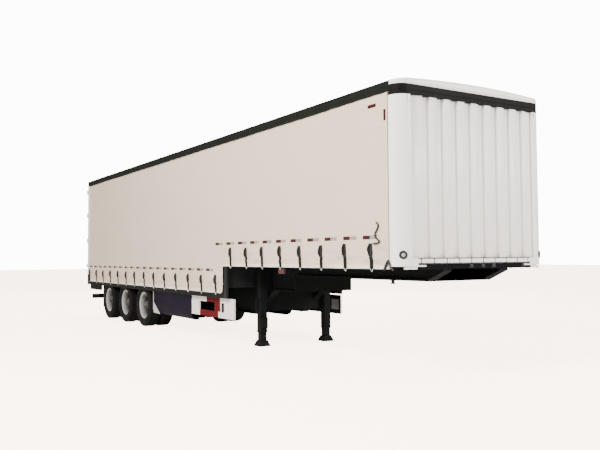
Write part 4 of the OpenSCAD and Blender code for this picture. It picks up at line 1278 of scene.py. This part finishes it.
def guard_plate():
    """A plate on a grid of columns and rows: cells inside a window are left out, cells in a
    warning block are red, and walls close every side where a cell has no neighbour."""
    cx, cz = (gx[1:] + gx[:-1]) / 2 - guard_low[0], (gz[1:] + gz[:-1]) / 2
    col, row = np.meshgrid(cx, cz, indexing="ij")
    window = (row > 0.57) & (row < 0.73) & (col > 0.35) & (col < 1.05)
    hand_hole = (row > 0.56) & (row < 0.73) & (col > 1.30) & (col < 1.45)
    keep = ~(window | hand_hole)
    red = (row > 0.73) & (col > 0.70) & (col < 1.29)
    red |= (row < 0.57) & (col > 0.39) & (col < 1.21)
    red |= (row > 0.57) & (col > 1.05) & (col < 1.29)
    x, z = np.meshgrid(gx, gz, indexing="ij")
    flat = [np.stack([x, np.full(x.shape, y), z], axis=-1).reshape(-1, 3)
            for y in (guard_y - guard_thick, guard_y)]
    ids = np.arange(x.size).reshape(x.shape)
    quad = quads(ids)
    # Group 2, the inner faces, gets the black chassis paint as painted shade.
    groups = {0: [quad[keep & ~red] + x.size], 1: [quad[keep & red] + x.size],
              2: [quad[keep][:, ::-1]]}
    padded = np.pad(keep, 1)
    for shift, (p, q) in (((-1, 0), (0, 1)), ((0, 1), (1, 2)), ((1, 0), (2, 3)),
                          ((0, -1), (3, 0))):
        near = padded[1 + shift[0]:padded.shape[0] - 1 + shift[0],
                      1 + shift[1]:padded.shape[1] - 1 + shift[1]]
        for number, paint in ((0, ~red), (1, red)):
            cells = quad[keep & ~near & paint]
            groups[number].append(np.stack([cells[:, p], cells[:, q], cells[:, q] + x.size,
                                            cells[:, p] + x.size], axis=-1))
    points = np.concatenate(flat)
    faces = [np.concatenate(groups[n]) for n in (0, 1, 2)]
    return points, list(np.concatenate(faces)), np.repeat([0, 1, 2], [len(f) for f in faces])


guard_backing = coated("guard_backing", (0.20, 0.20, 0.20), (0.15, 0.15, 0.15), 0.6, dust=0.1)
hangers = [slab((x - 0.025, guard_y - 0.060, 0.700), (x + 0.025, guard_y - guard_thick, 1.010))
           for x in (0.600, 1.600)]
backing = slab((gx[-1] - 0.30, guard_y - 0.034, gz[0] + 0.08),
               (gx[-1] - 0.06, guard_y - 0.028, gz[-1] - 0.08), 0.002)
guard_parts = [guard_plate(), *painted(hangers, 2), *painted([backing], 3)]
for side, word in sides:
    guard = mesh_piece("side_guard_" + word, [side_of(part, side) for part in guard_parts],
                       [guard_white, guard_red, chassis_paint, guard_backing])
    soften = guard.modifiers.new("edges", "BEVEL")
    soften.width, soften.segments, soften.limit_method = 0.004, 2, "ANGLE"
    if side > 0:
        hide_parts("side_guards")

# ---------------------------------------------------------------- side panels
# Smooth glass-fibre skirts in very dark aubergine gel coat, rolled under along the lower
# edge, with a light edge trim and gusset at the rear.

aubergine = coated("aubergine_gel_coat", (0.0050, 0.0026, 0.0098), (0.0074, 0.0042, 0.0135), 0.5,
                   dust=0.003, dust_top=0.8, bump=0.05, glint=0.04)
trim_grey = coated("skirt_trim", (0.42, 0.40, 0.41), (0.34, 0.32, 0.33), 0.4, dust=0.1)
skirt_low, skirt_high = place("side_panels")
skirt_y, skirt_t, bend_r = skirt_high[1], 0.030, 0.110
skirt_bottom, skirt_top = skirt_low[2], 1.000
skirt_front, skirt_rear = 0.345, skirt_low[0]


def skirt_section(grow=0.0):
    """Section in Y and Z: down the outside, round the bend, a short return, and back inside."""
    turn = np.linspace(0, np.pi / 2, 17)
    arc = np.column_stack([np.cos(turn), -np.sin(turn)])
    middle = np.array([skirt_y - bend_r, skirt_bottom + bend_r])
    outside, back = bend_r + grow, skirt_y - bend_r - 0.060
    return np.concatenate([[[skirt_y + grow, skirt_top]], middle + outside * arc,
                           [[back, skirt_bottom - grow], [back, skirt_bottom - grow + skirt_t]],
                           middle + (outside - skirt_t) * arc[::-1],
                           [[skirt_y + grow - skirt_t, skirt_top]]])[::-1]


panel = prism(skirt_section(), skirt_rear, skirt_front, "x", 0.004)
edge_trim = prism(skirt_section(0.003), skirt_rear - 0.002, skirt_rear + 0.035, "x", 0.001)
gusset = prism([(skirt_bottom + 0.020, skirt_rear + 0.030),
                (skirt_bottom + 0.010, skirt_rear + 0.42),
                (skirt_bottom + 0.26, skirt_rear + 0.030)], skirt_y - 0.002, skirt_y + 0.004,
               "y", 0.001)
skirt_hangers = [slab((x - 0.030, skirt_y - skirt_t - 0.040, 0.840),
                      (x + 0.030, skirt_y - skirt_t, 1.012)) for x in (-1.400, -0.400, 0.100)]
skirt_parts = both(panel) + painted(both(edge_trim) + both(gusset), 1)
skirt_parts += painted([part for hanger in skirt_hangers for part in both(hanger)], 2)
skirts = mesh_piece("side_skirts", skirt_parts, [aubergine, trim_grey, chassis_paint])
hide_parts("side_panels")

# ---------------------------------------------------------------- rear end
# White posts and doors, black sill, header and bumper; each door is a flat panel in an
# aluminium frame with a rubber seal, shut by galvanised lock bars. Lamps and a blank plate
# are screwed to the sill, and rubber mud flaps hang behind the wheels.

door_paint = coated("door_paint", (0.76, 0.735, 0.70), (0.68, 0.65, 0.61), 0.38, coat=0.15,
                    dust=0.2, dust_top=2.0)
paint_nodes(door_paint, "rear_posts", "rear_door_right", "rear_door_left")
paint_nodes(chassis_paint, "rear_sill", "rear_bumper", "rear_side_bars")
paint_nodes(galvanised, "door_hinges", "lock_gear_right", "lock_gear_left")
paint_nodes(black_rubber, "mud_flaps")
leaf_out = place("rear_sill")[0][0] - 0.047
leaf_y0, leaf_y1, leaf_z0, leaf_z1 = 0.006, 1.215, 1.050, 3.640
y0, y1, z0, z1 = leaf_y0 + 0.002, leaf_y1 - 0.002, leaf_z0 + 0.002, leaf_z1 - 0.002
frame_wide = 0.040
edging = [slab((leaf_out - 0.004, ya, za), (leaf_out + 0.001, yb, zb), 0.0015)
          for ya, yb, za, zb in ((y0, y0 + frame_wide, z0, z1), (y1 - frame_wide, y1, z0, z1),
                                 (y0 + frame_wide, y1 - frame_wide, z0, z0 + frame_wide),
                                 (y0 + frame_wide, y1 - frame_wide, z1 - frame_wide, z1))]
ribs = [slab((leaf_out - 0.0025, leaf_y0 + 0.05, z - 0.020),
             (leaf_out + 0.001, leaf_y1 - 0.05, z + 0.020), 0.001)
        for z in np.linspace(leaf_z0 + 0.40, leaf_z1 - 0.40, 6)]
seal = slab((leaf_out + 0.002, leaf_y0 - 0.005, leaf_z0 + 0.004),
            (leaf_out + 0.036, leaf_y0 + 0.001, leaf_z1 - 0.004), 0.001)
trim = [*edging, *painted([seal], 1), *painted(ribs, 2)]
for side, word in sides:
    mesh_piece("door_trim_" + word, [side_of(part, side) for part in trim],
               [galvanised, black_rubber, door_paint], "door_" + word)

tail_back, tail_y = place("lamps")[0][0], 0.800
tail = both(slab((tail_back, tail_y, 0.870), (-6.708, tail_y + 0.380, 0.985), 0.006))
for i, paint in enumerate((3, 1, 2)):
    near = tail_y + 0.010 + i * 0.122
    tail += painted(both(slab((tail_back - 0.006, near, 0.882),
                              (tail_back + 0.002, near + 0.116, 0.973), 0.003)), paint)
tail.append((*slab((-6.716, -0.260, 0.890), (-6.709, 0.260, 1.000), 0.002), 4))
tail_lamps = mesh_piece("tail_lamps", tail, [black_rubber, red_lens, amber_lens, clear_lens,
                                             door_paint])
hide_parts("lamps")

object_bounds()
